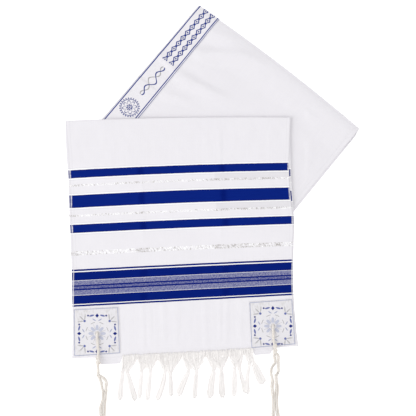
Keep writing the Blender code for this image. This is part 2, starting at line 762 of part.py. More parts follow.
def main():
    clear_scene()
    for name in ("folded_tallit", "cutters"):
        collection = bpy.data.collections.new(name)
        bpy.context.scene.collection.children.link(collection)
    build_back_panel()
    build_collar_band()
    build_folded_core()
    build_front_under_panel()
    build_front_panel()
    for name, patch in PATCHES.items():
        build_patch(name, patch[:4], patch.eyelet)
    build_fringe("fringe_under", "under")
    build_fringe("fringe_front", "front")
    for name, plan in TZITZITS.items():
        build_tzitzit(name, plan)


main()
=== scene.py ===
"""The looks of a folded tallit prayer shawl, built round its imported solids.

Lengths are metres in the solids' own frame: +X to the right, +Y towards the collar band and
+Z up from the table at z = 0. Each new piece is a surface worked out on a grid of two
parameters, or a round section carried along paths.
"""

import logging
import math
from dataclasses import dataclass, field
from enum import Enum
from functools import reduce
from typing import Any, Callable, Iterable, NamedTuple, Optional, Union

import bpy
import numpy as np
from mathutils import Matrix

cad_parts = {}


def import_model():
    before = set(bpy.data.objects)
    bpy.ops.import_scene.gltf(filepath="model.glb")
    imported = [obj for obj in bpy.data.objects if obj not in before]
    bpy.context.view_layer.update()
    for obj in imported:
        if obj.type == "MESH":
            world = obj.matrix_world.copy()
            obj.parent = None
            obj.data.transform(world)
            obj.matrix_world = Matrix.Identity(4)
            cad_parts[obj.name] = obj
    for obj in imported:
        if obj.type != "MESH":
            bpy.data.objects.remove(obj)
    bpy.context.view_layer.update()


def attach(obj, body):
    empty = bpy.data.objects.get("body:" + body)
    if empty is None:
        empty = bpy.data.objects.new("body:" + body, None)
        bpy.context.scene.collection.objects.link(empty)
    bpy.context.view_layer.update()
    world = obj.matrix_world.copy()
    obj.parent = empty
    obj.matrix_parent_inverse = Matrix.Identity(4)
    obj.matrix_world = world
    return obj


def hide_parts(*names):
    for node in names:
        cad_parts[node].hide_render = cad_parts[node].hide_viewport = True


LOG = logging.getLogger("tallit")
BODY = "root"

Array = np.ndarray
Point = tuple[float, float]
Colour = tuple[float, float, float]
Size = tuple[float, float, float]
Curve = tuple[tuple[float, ...], tuple[float, ...]]

ABOVE = np.array((0.0, 0.0, 1.0))
RIGHTWARD = np.array((1.0, 0.0, 0.0))
FORWARD = np.array((0.0, 1.0, 0.0))


# Curves and grids


def smooth(share: Array) -> Array:
    """An even S curve: 0 below 0, 1 above 1, and 3 t^2 - 2 t^3 between them."""
    t = np.clip(share, 0.0, 1.0)
    return t * t * (3.0 - 2.0 * t)


def unit(vectors: Array) -> Array:
    """Each vector divided by its length."""
    return vectors / np.maximum(np.linalg.norm(vectors, axis=-1, keepdims=True), 1e-12)


def mixed(first: Array, second: Array, share: Array) -> Array:
    """The values a share of the way from the first to the second."""
    return first + (second - first) * share


def denser(share: float, first: int, rest: int) -> Array:
    """Steps from 0 to 1: a first few up to a share, and the rest from there."""
    return np.concatenate([np.linspace(0.0, share, first)[:-1], np.linspace(share, 1.0, rest)])


def through(knots: Any, values: Any, at: Any) -> Array:
    """Reads a smooth curve through a short table.

    Between two knots it is the cubic whose slopes at the knots are the table's own
    differences on both sides.

    Args:
        knots: Where the values are given, rising.
        values: A number or a point for each knot.
        at: Where the curve is read, in an array of any shape.

    Returns:
        The values there, with the points' own axis last.
    """
    knots, values, at = np.asarray(knots, float), np.asarray(values, float), np.asarray(at, float)
    slopes = np.gradient(values, knots, axis=0)
    span = np.clip(np.searchsorted(knots, at, side="right") - 1, 0, len(knots) - 2)
    width = knots[span + 1] - knots[span]
    t = (at - knots[span]) / width
    if values.ndim > 1:
        width, t = width[..., None], t[..., None]
    start = (1 + 2 * t) * (1 - t) ** 2 * values[span] + t * (1 - t) ** 2 * width * slopes[span]
    end = t * t * (3 - 2 * t) * values[span + 1] + t * t * (t - 1) * width * slopes[span + 1]
    return start + end


def joined(*parts: Any) -> Array:
    """Coordinates, or the two lengths of a UV map, as points of one array."""
    return np.stack(np.broadcast_arrays(*parts), -1)


def lengths_along(points: Array) -> Array:
    """Distance along each path from its first point."""
    steps = np.linalg.norm(np.diff(points, axis=-2), axis=-1)
    return np.concatenate([np.zeros(steps.shape[:-1] + (1,)), np.cumsum(steps, axis=-1)], axis=-1)


def smooth_path(points: Any, spacing: float) -> Array:
    """A smooth path through a few points, with its own points about a spacing apart.

    Args:
        points: The points, in order.
        spacing: The distance from one point of the path to the next.

    Returns:
        The path's points.
    """
    points = np.asarray(points, float)
    knots = lengths_along(points)
    count = max(4, int(math.ceil(knots[-1] / spacing)) + 1)
    return through(knots, points, np.linspace(0.0, knots[-1], count))


def square_to(paths: Array, aside: Array) -> tuple[Array, Array]:
    """Two unit vectors square to each path at each point.

    Args:
        paths: The paths' points.
        aside: A direction that no path runs along.

    Returns:
        One on aside's side, and one square to it, as cross products.
    """
    along = unit(np.gradient(paths, axis=-2))
    upright = unit(np.cross(along, -aside))
    return np.cross(upright, along), upright


def beyond(x: Array, y: Array, start: Point, end: Point) -> Array:
    """How far points lie to the right of a line: the cross product over the line's length."""
    run_x, run_y = end[0] - start[0], end[1] - start[1]
    return ((x - start[0]) * run_y - (y - start[1]) * run_x) / math.hypot(run_x, run_y)


class Crease(NamedTuple):
    """A soft trough or ridge, with its widths on the left and right of its line."""

    start: Point
    end: Point
    height: float
    left: float
    right: float


def creased(x: Array, y: Array, creases: tuple[Crease, ...], lead: float = 0.1, rise: float = 0.25,
            fall: float = 0.6) -> Array:
    """Height of creases at points.

    Each one is its height, times an S curve up near its start and down near its end, times
    exp(-(distance / width)^2) away from its line.

    Args:
        x: Where they are read, across.
        y: Where they are read, upwards.
        creases: The creases to add up.
        lead: How far before its start a crease begins, as a share of its length.
        rise: The share of its length over which it rises.
        fall: The share of its length over which it falls.

    Returns:
        The heights, added up.
    """
    total = np.zeros(np.broadcast(x, y).shape)
    for crease in creases:
        run = np.subtract(crease.end, crease.start)
        length = float(np.hypot(*run))
        off_x, off_y = x - crease.start[0], y - crease.start[1]
        share = (off_x * run[0] + off_y * run[1]) / length**2
        away = (off_x * run[1] - off_y * run[0]) / length
        width = np.where(away > 0, crease.right, crease.left)
        along = smooth((share + lead) / rise) * smooth((1.0 - share) / fall)
        total += crease.height * along * np.exp(-((away / width) ** 2))
    return total


def rippled(x: Array, y: Array, height: float, wavelength: float, seed: int) -> Array:
    """Uneven ripples: eight sine waves of seeded directions, lengths and phases, added up.

    Args:
        x: Where they are read, across.
        y: Where they are read, upwards.
        height: Their height.
        wavelength: Their middle length.
        seed: Sets one pattern off from others.

    Returns:
        The height at each place.
    """
    rng = np.random.default_rng(seed)
    total = np.zeros(np.broadcast(x, y).shape)
    for _ in range(8):
        angle, phase = rng.uniform(0.0, math.pi), rng.uniform(0.0, 2 * math.pi)
        number = 2 * math.pi / (wavelength * rng.uniform(0.6, 1.8))
        total += np.sin(number * (x * math.cos(angle) + y * math.sin(angle)) + phase)
    return height * total / 4.0


# Meshes


def mesh_of(name: str, points: Array, quads: Array, uv: Optional[Array] = None,
            tone: Optional[Array] = None) -> bpy.types.Mesh:
    """Puts whole arrays into a mesh.

    Args:
        name: The mesh's name.
        points: Its points.
        quads: Four point numbers for each face, anticlockwise from outside.
        uv: The UV map, for each corner of each face.
        tone: A shade from 0 to 1 for each point, kept as the attribute tone.

    Returns:
        The mesh, smooth shaded.
    """
    mesh = bpy.data.meshes.new(name)
    mesh.vertices.add(len(points))
    mesh.vertices.foreach_set("co", np.ascontiguousarray(points, np.float32).ravel())
    mesh.loops.add(quads.size)
    mesh.loops.foreach_set("vertex_index", np.ascontiguousarray(quads, np.int32).ravel())
    mesh.polygons.add(len(quads))
    mesh.polygons.foreach_set("loop_start", np.arange(0, quads.size, 4, dtype=np.int32))
    mesh.update(calc_edges=True)
    if uv is not None:
        layer = mesh.uv_layers.new(name="UVMap")
        layer.data.foreach_set("uv", np.ascontiguousarray(uv, np.float32).ravel())
    if tone is not None:
        attribute = mesh.attributes.new("tone", "FLOAT", "POINT")
        attribute.data.foreach_set("value", np.ascontiguousarray(tone, np.float32).ravel())
    mesh.shade_smooth()
    return mesh


@dataclass
class Sheet:
    """A piece of cloth with a rounded rim, grown both ways from a grid of middle points.

    A rim's rows stand outside the grid's edge by half the wall times the sine of an angle,
    and their wall is thinner by its cosine. A ring sheet closes on itself across its columns.
    """

    middle: Array
    uv: Array
    wall: Union[float, Array]
    ring: bool = False
    rim: tuple[float, ...] = (78.0, 52.0, 25.0)

    def _rimmed(self, count: int) -> tuple[Array, Array]:
        """Angles of the rim's rows around count plain ones, and which way each row stands out."""
        rim, flat = np.radians(self.rim), np.zeros(count)
        return np.concatenate([rim, flat, rim[::-1]]), np.sign(np.concatenate([-rim, flat, rim]))

    def _slope(self, axis: int) -> Array:
        """The surface's direction along rows or columns, which closes on itself in a ring."""
        round_it = np.roll(self.middle, -1, axis=1) - np.roll(self.middle, 1, axis=1)
        return unit(round_it if axis == 1 and self.ring else np.gradient(self.middle, axis=axis))

    def arrays(self) -> tuple[Array, Array, Array]:
        """The closed surface's points, its faces and their UV map.

        Returns:
            Points x 3, faces x 4 point numbers, and faces x 4 x 2 lengths in metres.
        """
        rows, columns = self.middle.shape[:2]
        upwards, across = self._slope(0), self._slope(1)
        outwards = unit(np.cross(across, upwards))
        half = np.broadcast_to(np.asarray(self.wall, float) / 2, (rows, columns))[..., None]
        row_angle, row_side = self._rimmed(rows)
        column_angle, column_side = (np.zeros(columns),) * 2 if self.ring else self._rimmed(columns)
        pad_rows = (len(row_angle) - rows) // 2
        pad_columns = (len(column_angle) - columns) // 2

        def wide(grid: Array) -> Array:
            """Repeats the grid's edge rows and columns under the rim."""
            return np.pad(grid, ((pad_rows, pad_rows), (pad_columns, pad_columns), (0, 0)), mode="edge")

        half = wide(half)
        out_rows = (row_side * np.sin(row_angle))[:, None, None] * half
        out_columns = (column_side * np.sin(column_angle))[None, :, None] * half
        thin = np.cos(row_angle)[:, None, None] * np.cos(column_angle)[None, :, None]
        middle = wide(self.middle) + wide(upwards) * out_rows + wide(across) * out_columns
        rise = wide(outwards) * half * thin
        uv = wide(self.uv) + np.concatenate([out_columns, out_rows], -1)
        points = np.concatenate([(middle + rise).reshape(-1, 3), (middle - rise).reshape(-1, 3)])
        quads = self._quads(np.arange(middle[..., 0].size).reshape(middle.shape[:2]))
        return points, quads, np.tile(uv.reshape(-1, 2), (2, 1))[quads]

    def _quads(self, number: Array) -> Array:
        """Faces of both sides, and of the strips that join them round the edge.

        Args:
            number: The upper side's point numbers, which the lower side's follow in order.

        Returns:
            Four point numbers for each face.
        """
        right = np.roll(number, -1, axis=1) if self.ring else number[:, 1:]
        left = number if self.ring else number[:, :-1]
        top = np.stack([left[:-1], right[:-1], right[1:], left[1:]], -1).reshape(-1, 4)
        if self.ring:
            loops = [np.append(number[0], number[0, 0]), np.append(number[-1], number[-1, 0])[::-1]]
        else:
            loops = [np.concatenate([number[0], number[1:, -1], number[-1, -2::-1], number[-2::-1, 0]])]
        lower = number.size
        strips = [np.stack([a, a + lower, b + lower, b], -1) for a, b in ((c[:-1], c[1:]) for c in loops)]
        return np.concatenate([top, top[:, ::-1] + lower, *strips])

    def mesh(self, name: str) -> bpy.types.Mesh:
        """The sheet as a closed mesh."""
        return mesh_of(name, *self.arrays())


class Stitch(NamedTuple):
    """A stitch: its length, the gap to the next one, its lift at the middle and its radius."""

    length: float = 0.0022
    gap: float = 0.001
    lift: float = 0.0002
    radius: float = 0.00019


@dataclass
class Skein:
    """Yarns that are gathered into one mesh: round sections carried along paths.

    Its seeded numbers, rng, are drawn in the order in which the yarns are made.
    """

    seed: int = 0
    points: list[Array] = field(default_factory=list)
    quads: list[Array] = field(default_factory=list)
    uv: list[Array] = field(default_factory=list)
    tone: list[Array] = field(default_factory=list)
    count: int = 0

    def __post_init__(self) -> None:
        """Starts the seeded numbers."""
        self.rng = np.random.default_rng(self.seed)

    def add(self, paths: Array, radius: Any, sides: int = 6, tone: Any = 0.5,
            aside: Array = RIGHTWARD) -> None:
        """Adds yarns of one number of rings.

        A ring's points stand round the path at its radius, in the plane of two vectors: one
        square to the path and to aside, and one square to both of those.

        Args:
            paths: Yarns x rings x 3 points.
            radius: A number, or one for each yarn and ring.
            sides: Points round a ring, an even number.
            tone: A shade for each yarn, or one for all.
            aside: A direction that no path runs along.
        """
        yarns, rings = paths.shape[:2]
        across, upright = square_to(paths, aside)
        angle = 2 * math.pi * np.arange(sides) / sides
        radius = np.broadcast_to(np.asarray(radius, float), (yarns, rings))[..., None, None]
        turn = np.cos(angle)[:, None] * across[:, :, None] + np.sin(angle)[:, None] * upright[:, :, None]
        ring = paths[:, :, None] + radius * turn
        number = self.count + np.arange(yarns * rings * sides).reshape(yarns, rings, sides)
        ahead = np.roll(number, -1, axis=2)
        tube = np.stack([number[:, :-1], ahead[:, :-1], ahead[:, 1:], number[:, 1:]], -1)
        length = np.broadcast_to(lengths_along(paths)[:, :, None], (yarns, rings, sides))
        round_it = np.broadcast_to(np.arange(sides) / sides, (yarns, rings, sides))
        corner_u = np.stack([round_it[:, 1:]] * 4, -1) + np.array((0, 1, 1, 0)) / sides
        corner_v = np.stack([length[:, :-1], length[:, :-1], length[:, 1:], length[:, 1:]], -1)
        j = np.arange(sides // 2 - 1)
        pairs = np.stack([j, j + 1, sides - 2 - j, sides - 1 - j], -1)
        ends = np.concatenate([number[:, 0][:, pairs[:, ::-1]], number[:, -1][:, pairs]]).reshape(-1, 4)
        self.points.append(ring.reshape(-1, 3))
        self.quads += [tube.reshape(-1, 4), ends]
        self.uv += [joined(corner_u, corner_v).reshape(-1, 4, 2), np.zeros((len(ends), 4, 2))]
        shades = np.broadcast_to(np.asarray(tone, float).reshape(-1, 1), (yarns, rings * sides))
        self.tone.append(shades.reshape(-1))
        self.count += yarns * rings * sides

    def sew(self, route: Array, stitch: Stitch, aside: Array) -> None:
        """Adds the stitches of a seam.

        Each one follows the route for its length, and rises over it by its lift times the sine
        of its share of a half turn.

        Args:
            route: The points of the seam, in order.
            stitch: The sizes of a stitch.
            aside: A direction that the route doesn't run along.
        """
        along = lengths_along(route)
        starts = np.arange(stitch.gap, along[-1] - stitch.length, stitch.length + stitch.gap)
        share = np.linspace(0.0, 1.0, 6)
        at = starts[:, None] + stitch.length * share
        paths = np.stack([np.interp(at, along, route[:, axis]) for axis in range(3)], -1)
        paths[..., 2] += stitch.lift * (np.sin(math.pi * share) - 0.25)
        self.add(paths, stitch.radius, 6, 0.5, aside)

    def mesh(self, name: str) -> bpy.types.Mesh:
        """All the yarns as one mesh."""
        parts = (self.points, self.quads, self.uv, self.tone)
        return mesh_of(name, *(np.concatenate(part) for part in parts))


def plied(path: Array, plies: int, reach: float, pitch: float, turn: float = 0.0,
          aside: Array = RIGHTWARD) -> Array:
    """Paths of the plies that are wound round a path.

    A ply stands at reach from the path, in a direction that turns once every pitch.

    Args:
        path: Rings x 3 points.
        plies: How many plies there are, evenly spread.
        reach: How far a ply's middle is from the path.
        pitch: The length of one turn.
        turn: The angle at which the first ply starts.
        aside: A direction that the path doesn't run along.

    Returns:
        Plies x rings x 3 points.
    """
    across, upright = square_to(path, aside)
    start = turn + 2 * math.pi * np.arange(plies)[:, None] / plies
    angle = (start + 2 * math.pi * lengths_along(path)[None] / pitch)[..., None]
    return path[None] + reach * (np.cos(angle) * across + np.sin(angle) * upright)


def knot_path(centre: Any, size: Any, yarn: float, heading: float = 0.0, rings: int = 64) -> Array:
    """The path of an overhand knot of a given outer size.

    In a unit knot x = sin t + 2 sin 2t, y = cos t - 2 cos 2t and z = -sin 3t, which is then
    scaled to the size less the yarn's width, turned by its heading and put in its place.

    Args:
        centre: The knot's middle.
        size: Its width, length and height.
        yarn: The width of the yarn that is tied.
        heading: The angle that its length is turned by, in radians.
        rings: How many points the path has.

    Returns:
        Rings x 3 points.
    """
    t = np.linspace(0.0, 2 * math.pi, rings)
    flat_x = (np.sin(t) + 2 * np.sin(2 * t)) / 5.2 * (size[0] - yarn)
    flat_y = (np.cos(t) - 2 * np.cos(2 * t)) / 5.2 * (size[1] - yarn)
    x = flat_x * math.cos(heading) - flat_y * math.sin(heading)
    y = flat_x * math.sin(heading) + flat_y * math.cos(heading)
    z = -np.sin(3 * t) / 2 * (size[2] - yarn)
    return joined(x, y, z) + np.asarray(centre, float)


# Materials


Number = Union[float, "Value"]


def maths(operation: str, swapped: bool = False, clamp: bool = False) -> Callable[..., "Value"]:
    """Makes a method of Value that adds one Math node.

    Args:
        operation: The node's operation.
        swapped: Whether the other number comes first, as in 1 - value.
        clamp: Whether the result is kept between 0 and 1.

    Returns:
        The method.
    """
    settings = {"operation": operation, "use_clamp": clamp}

    def method(value: "Value", *others: Number) -> "Value":
        """The operation on the value and the others."""
        terms = dict(enumerate((*others, value) if swapped else (value, *others)))
        return Value(value.shade, value.shade.node("ShaderNodeMath", settings, terms).outputs[0])

    return method


class Value:
    """A number that changes over a surface. Sums and products of values add Math nodes."""

    __add__ = __radd__ = maths("ADD")
    __mul__ = __rmul__ = maths("MULTIPLY")
    __sub__, __rsub__ = maths("SUBTRACT"), maths("SUBTRACT", swapped=True)
    __truediv__, __rtruediv__ = maths("DIVIDE"), maths("DIVIDE", swapped=True)
    __pow__, __abs__, floor = maths("POWER"), maths("ABSOLUTE"), maths("FLOOR")
    sine, cosine, angle_over = maths("SINE"), maths("COSINE"), maths("ARCTAN2")
    least, most = maths("MINIMUM"), maths("MAXIMUM")
    clamped_sum = maths("ADD", clamp=True)

    def __init__(self, shade: "Shade", socket: bpy.types.NodeSocket) -> None:
        """Wraps an output socket of a material's tree."""
        self.shade = shade
        self.socket = socket

    def clamped(self) -> "Value":
        """This, kept between 0 and 1."""
        return self.clamped_sum(0.0)

    def folded(self, period: float) -> "Value":
        """How far this is from the nearest whole number of periods, with its sign."""
        return self - (self / period + 0.5).floor() * period

    def step(self, edge: float, soft: float) -> "Value":
        """0 below an edge and 1 above it, with a slope as wide as soft."""
        return ((self - edge) / soft + 0.5).clamped()

    def within(self, width: Number, soft: float) -> "Value":
        """1 where this distance is under half a width, and 0 outside, with a soft edge."""
        return ((width * 0.5 - abs(self)) / soft + 0.5).clamped()


def greatest(values: Iterable[Value]) -> Value:
    """The greatest of some values."""
    return reduce(Value.most, values)


def away_from(x: Value, y: Value) -> Value:
    """The root of the sum of two squares."""
    return (x * x + y * y) ** 0.5


class Shade:
    """A material under construction, with one method that adds any node."""

    def __init__(self, name: str) -> None:
        """Starts a material with a Principled shader alone.

        Args:
            name: The material's name.
        """
        self.material = bpy.data.materials.new(name)
        self.material.use_nodes = True
        self.tree = self.material.node_tree
        self.tree.nodes.clear()
        self.shader = self.node("ShaderNodeBsdfPrincipled")
        self.node("ShaderNodeOutputMaterial", inputs={"Surface": self.shader.outputs[0]})

    def node(self, kind: str, settings: Optional[dict[str, Any]] = None,
             inputs: Optional[dict[Any, Any]] = None) -> bpy.types.Node:
        """Adds a node.

        Args:
            kind: The node's type.
            settings: Its settings, which are made first.
            inputs: Values or links for its sockets, by name or number.

        Returns:
            The node.
        """
        made = self.tree.nodes.new(kind)
        for name, setting in (settings or {}).items():
            setattr(made, name, setting)
        for key, value in (inputs or {}).items():
            self.feed(made.inputs[key], value)
        return made

    def feed(self, socket: bpy.types.NodeSocket, value: Any) -> None:
        """Links a value to a socket, or sets a plain number, vector or colour on it.

        Args:
            socket: The socket.
            value: A value, a socket, a dye, or plain numbers.
        """
        if isinstance(value, Value):
            value = value.socket
        elif isinstance(value, Dye):
            value = value.value
        if isinstance(value, bpy.types.NodeSocket):
            self.tree.links.new(value, socket)
        elif socket.type == "RGBA" and len(value) == 3:
            socket.default_value = (*value, 1.0)
        else:
            socket.default_value = value

    def _parts(self, socket: bpy.types.NodeSocket) -> tuple[Value, ...]:
        """A vector's three parts."""
        parts = self.node("ShaderNodeSeparateXYZ", inputs={0: socket})
        return tuple(Value(self, part) for part in parts.outputs)

    def uv(self) -> tuple[Value, ...]:
        """The piece's UV map, which is in metres on cloth."""
        return self._parts(self.node("ShaderNodeUVMap", {"uv_map": "UVMap"}).outputs[0])[:2]

    def place(self) -> tuple[Value, ...]:
        """Object coordinates, in metres."""
        return self._parts(self.node("ShaderNodeTexCoord").outputs["Object"])

    def tone(self, name: str = "tone") -> Value:
        """An attribute of the piece's points."""
        made = self.node("ShaderNodeAttribute", {"attribute_name": name})
        return Value(self, made.outputs["Fac"])

    def noise(self, x: Number, y: Number, z: Number = 0.0, detail: float = 2.0) -> Value:
        """Soft noise of unit size, from 0 to 1.

        Args:
            x: Where it is read, across.
            y: Where it is read, along.
            z: Where it is read, in depth, or a number that sets one pattern off from others.
            detail: How many finer layers are added.

        Returns:
            The noise.
        """
        place = self.node("ShaderNodeCombineXYZ", inputs={0: x, 1: y, 2: z})
        inputs = {"Vector": place.outputs[0], "Scale": 1.0, "Detail": detail, "Roughness": 0.55}
        return Value(self, self.node("ShaderNodeTexNoise", inputs=inputs).outputs[0])

    def blend(self, share: Number, first: Any, second: Any) -> bpy.types.NodeSocket:
        """A colour that goes from the first to the second with a share."""
        made = self.node("ShaderNodeMix", {"data_type": "RGBA"}, {0: share, 6: first, 7: second})
        return made.outputs[2]

    def coated(self, colour: Any, *coats: tuple[Number, Any]) -> Any:
        """A colour under coats, laid on in order: each is a share and the colour it goes to."""
        return reduce(lambda under, coat: self.blend(coat[0], under, coat[1]), coats, colour)

    def dress(self, colour: Any, roughness: Number, height: Value, relief: float, **constants: Any) -> None:
        """Feeds the shader.

        Args:
            colour: The colour.
            roughness: The roughness.
            height: The surface's fine height, for its bumps.
            relief: How many metres a height of 1 is.
            constants: Values of the shader's own sockets, named with _ for a space.
        """
        bump = self.node("ShaderNodeBump", inputs={"Strength": 1.0, "Distance": relief, "Height": height})
        self.feed(self.shader.inputs["Base Color"], colour)
        self.feed(self.shader.inputs["Roughness"], roughness)
        self.feed(self.shader.inputs["Normal"], bump.outputs[0])
        for name, value in constants.items():
            self.feed(self.shader.inputs[name.replace("_", " ")], value)


class Dye(Enum):
    """Colours of the yarns, as linear light."""

    WHITE = (0.776, 0.76, 0.794)
    BLUE = (0.0035, 0.0185, 0.205)
    DEEP_BLUE = (0.001, 0.0085, 0.14)
    SOFT_BLUE = (0.275, 0.305, 0.475)
    PALE_BLUE = (0.48, 0.5, 0.61)
    SILVER = (0.52, 0.5, 0.47)
    # painted reflection of the silver thread: dull grey where it catches no lamp, white where it glints
    PAINTED_DULL_REFLECTION = (0.35, 0.325, 0.305)
    PAINTED_GLINT = (1.0, 1.0, 1.0)
    PEWTER = (0.36, 0.355, 0.36)
    MID_BLUE = (0.07, 0.1, 0.33)
    PATCH_BLUE = (0.014, 0.026, 0.19)
    THIN_BLUE = (0.045, 0.07, 0.25)
    COLLAR_BLUE = (0.01, 0.035, 0.23)
    # painted shade for a thin line near the collar band's neck edge
    PAINTED_EDGE_SHADE = (0.3, 0.31, 0.4)
    GOLD = (0.62, 0.53, 0.38)
    BRIGHT = (0.93, 0.925, 0.93)


def scaled(colour: Colour, share: float) -> Colour:
    """A colour times a number."""
    return tuple(part * share for part in colour)


Look = tuple[Any, Number, Value]


@dataclass(frozen=True)
class ClothFinish:
    """Plain-woven cloth: threads a fraction of a millimetre apart, with faint streaks."""

    name: str
    white: Colour = Dye.WHITE.value
    warp: float = 0.00062
    weft: float = 0.00056
    wander: float = 0.001
    relief: float = 0.0001
    streak: float = 0.03
    roughness: float = 0.8

    def ground(self, shade: Shade, u: Value, v: Value) -> tuple[Any, Value]:
        """Bare cloth.

        The weave's height is the product of a sine across the warp and a sine across the weft,
        both moved a little by noise. Streaks are noise drawn out along the threads.

        Args:
            shade: The material.
            u: Distance across the cloth.
            v: Distance along it.

        Returns:
            Its colour and its height.
        """
        drift = (shade.noise(u * 7.0, v * 7.0) - 0.5) * self.wander
        warp = ((u + drift) * (2 * math.pi / self.warp)).sine()
        weft = ((v - drift) * (2 * math.pi / self.weft)).sine()
        long_streaks = shade.noise(u * 900.0, v * 9.0, 3.0, 3.0)
        cross_streaks = shade.noise(u * 9.0, v * 1000.0, 7.0, 3.0)
        patches = shade.noise(u * 24.0, v * 24.0, 11.0)
        share = (long_streaks * 0.9 + cross_streaks * 0.6 + patches * 0.5 - 0.5).clamped()
        colour = shade.blend(share, scaled(self.white, 1 - self.streak), scaled(self.white, 1 + self.streak))
        height = warp * weft * 0.5 + long_streaks * 0.8 + cross_streaks * 0.5
        return colour, height

    def pattern(self, shade: Shade, u: Value, v: Value, colour: Any, height: Value) -> Look:
        """What is woven into the cloth: here nothing. It gives colour, roughness and height."""
        return colour, self.roughness, height

    def build(self) -> bpy.types.Material:
        """Lays the pattern on bare cloth.

        Returns:
            The material.
        """
        shade = Shade(self.name)
        u, v = shade.uv()
        colour, height = self.ground(shade, u, v)
        colour, roughness, height = self.pattern(shade, u, v, colour, height)
        shade.dress(colour, roughness, height, self.relief, Specular_IOR_Level=0.012)
        return shade.material


class Band(NamedTuple):
    """A stripe between two heights above the hem."""

    low: float
    high: float

    def inside(self, v: Value) -> Value:
        """How far inside the stripe a point is, below 0 outside it."""
        return (v - self.low).least(self.high - v)


class Stripe(NamedTuple):
    """A narrow stripe or line: its middle above the hem, and its width."""

    middle: float
    width: float

    def inside(self, v: Value) -> Value:
        """How far inside the stripe a point is, below 0 outside it."""
        return self.width / 2 - abs(v - self.middle)


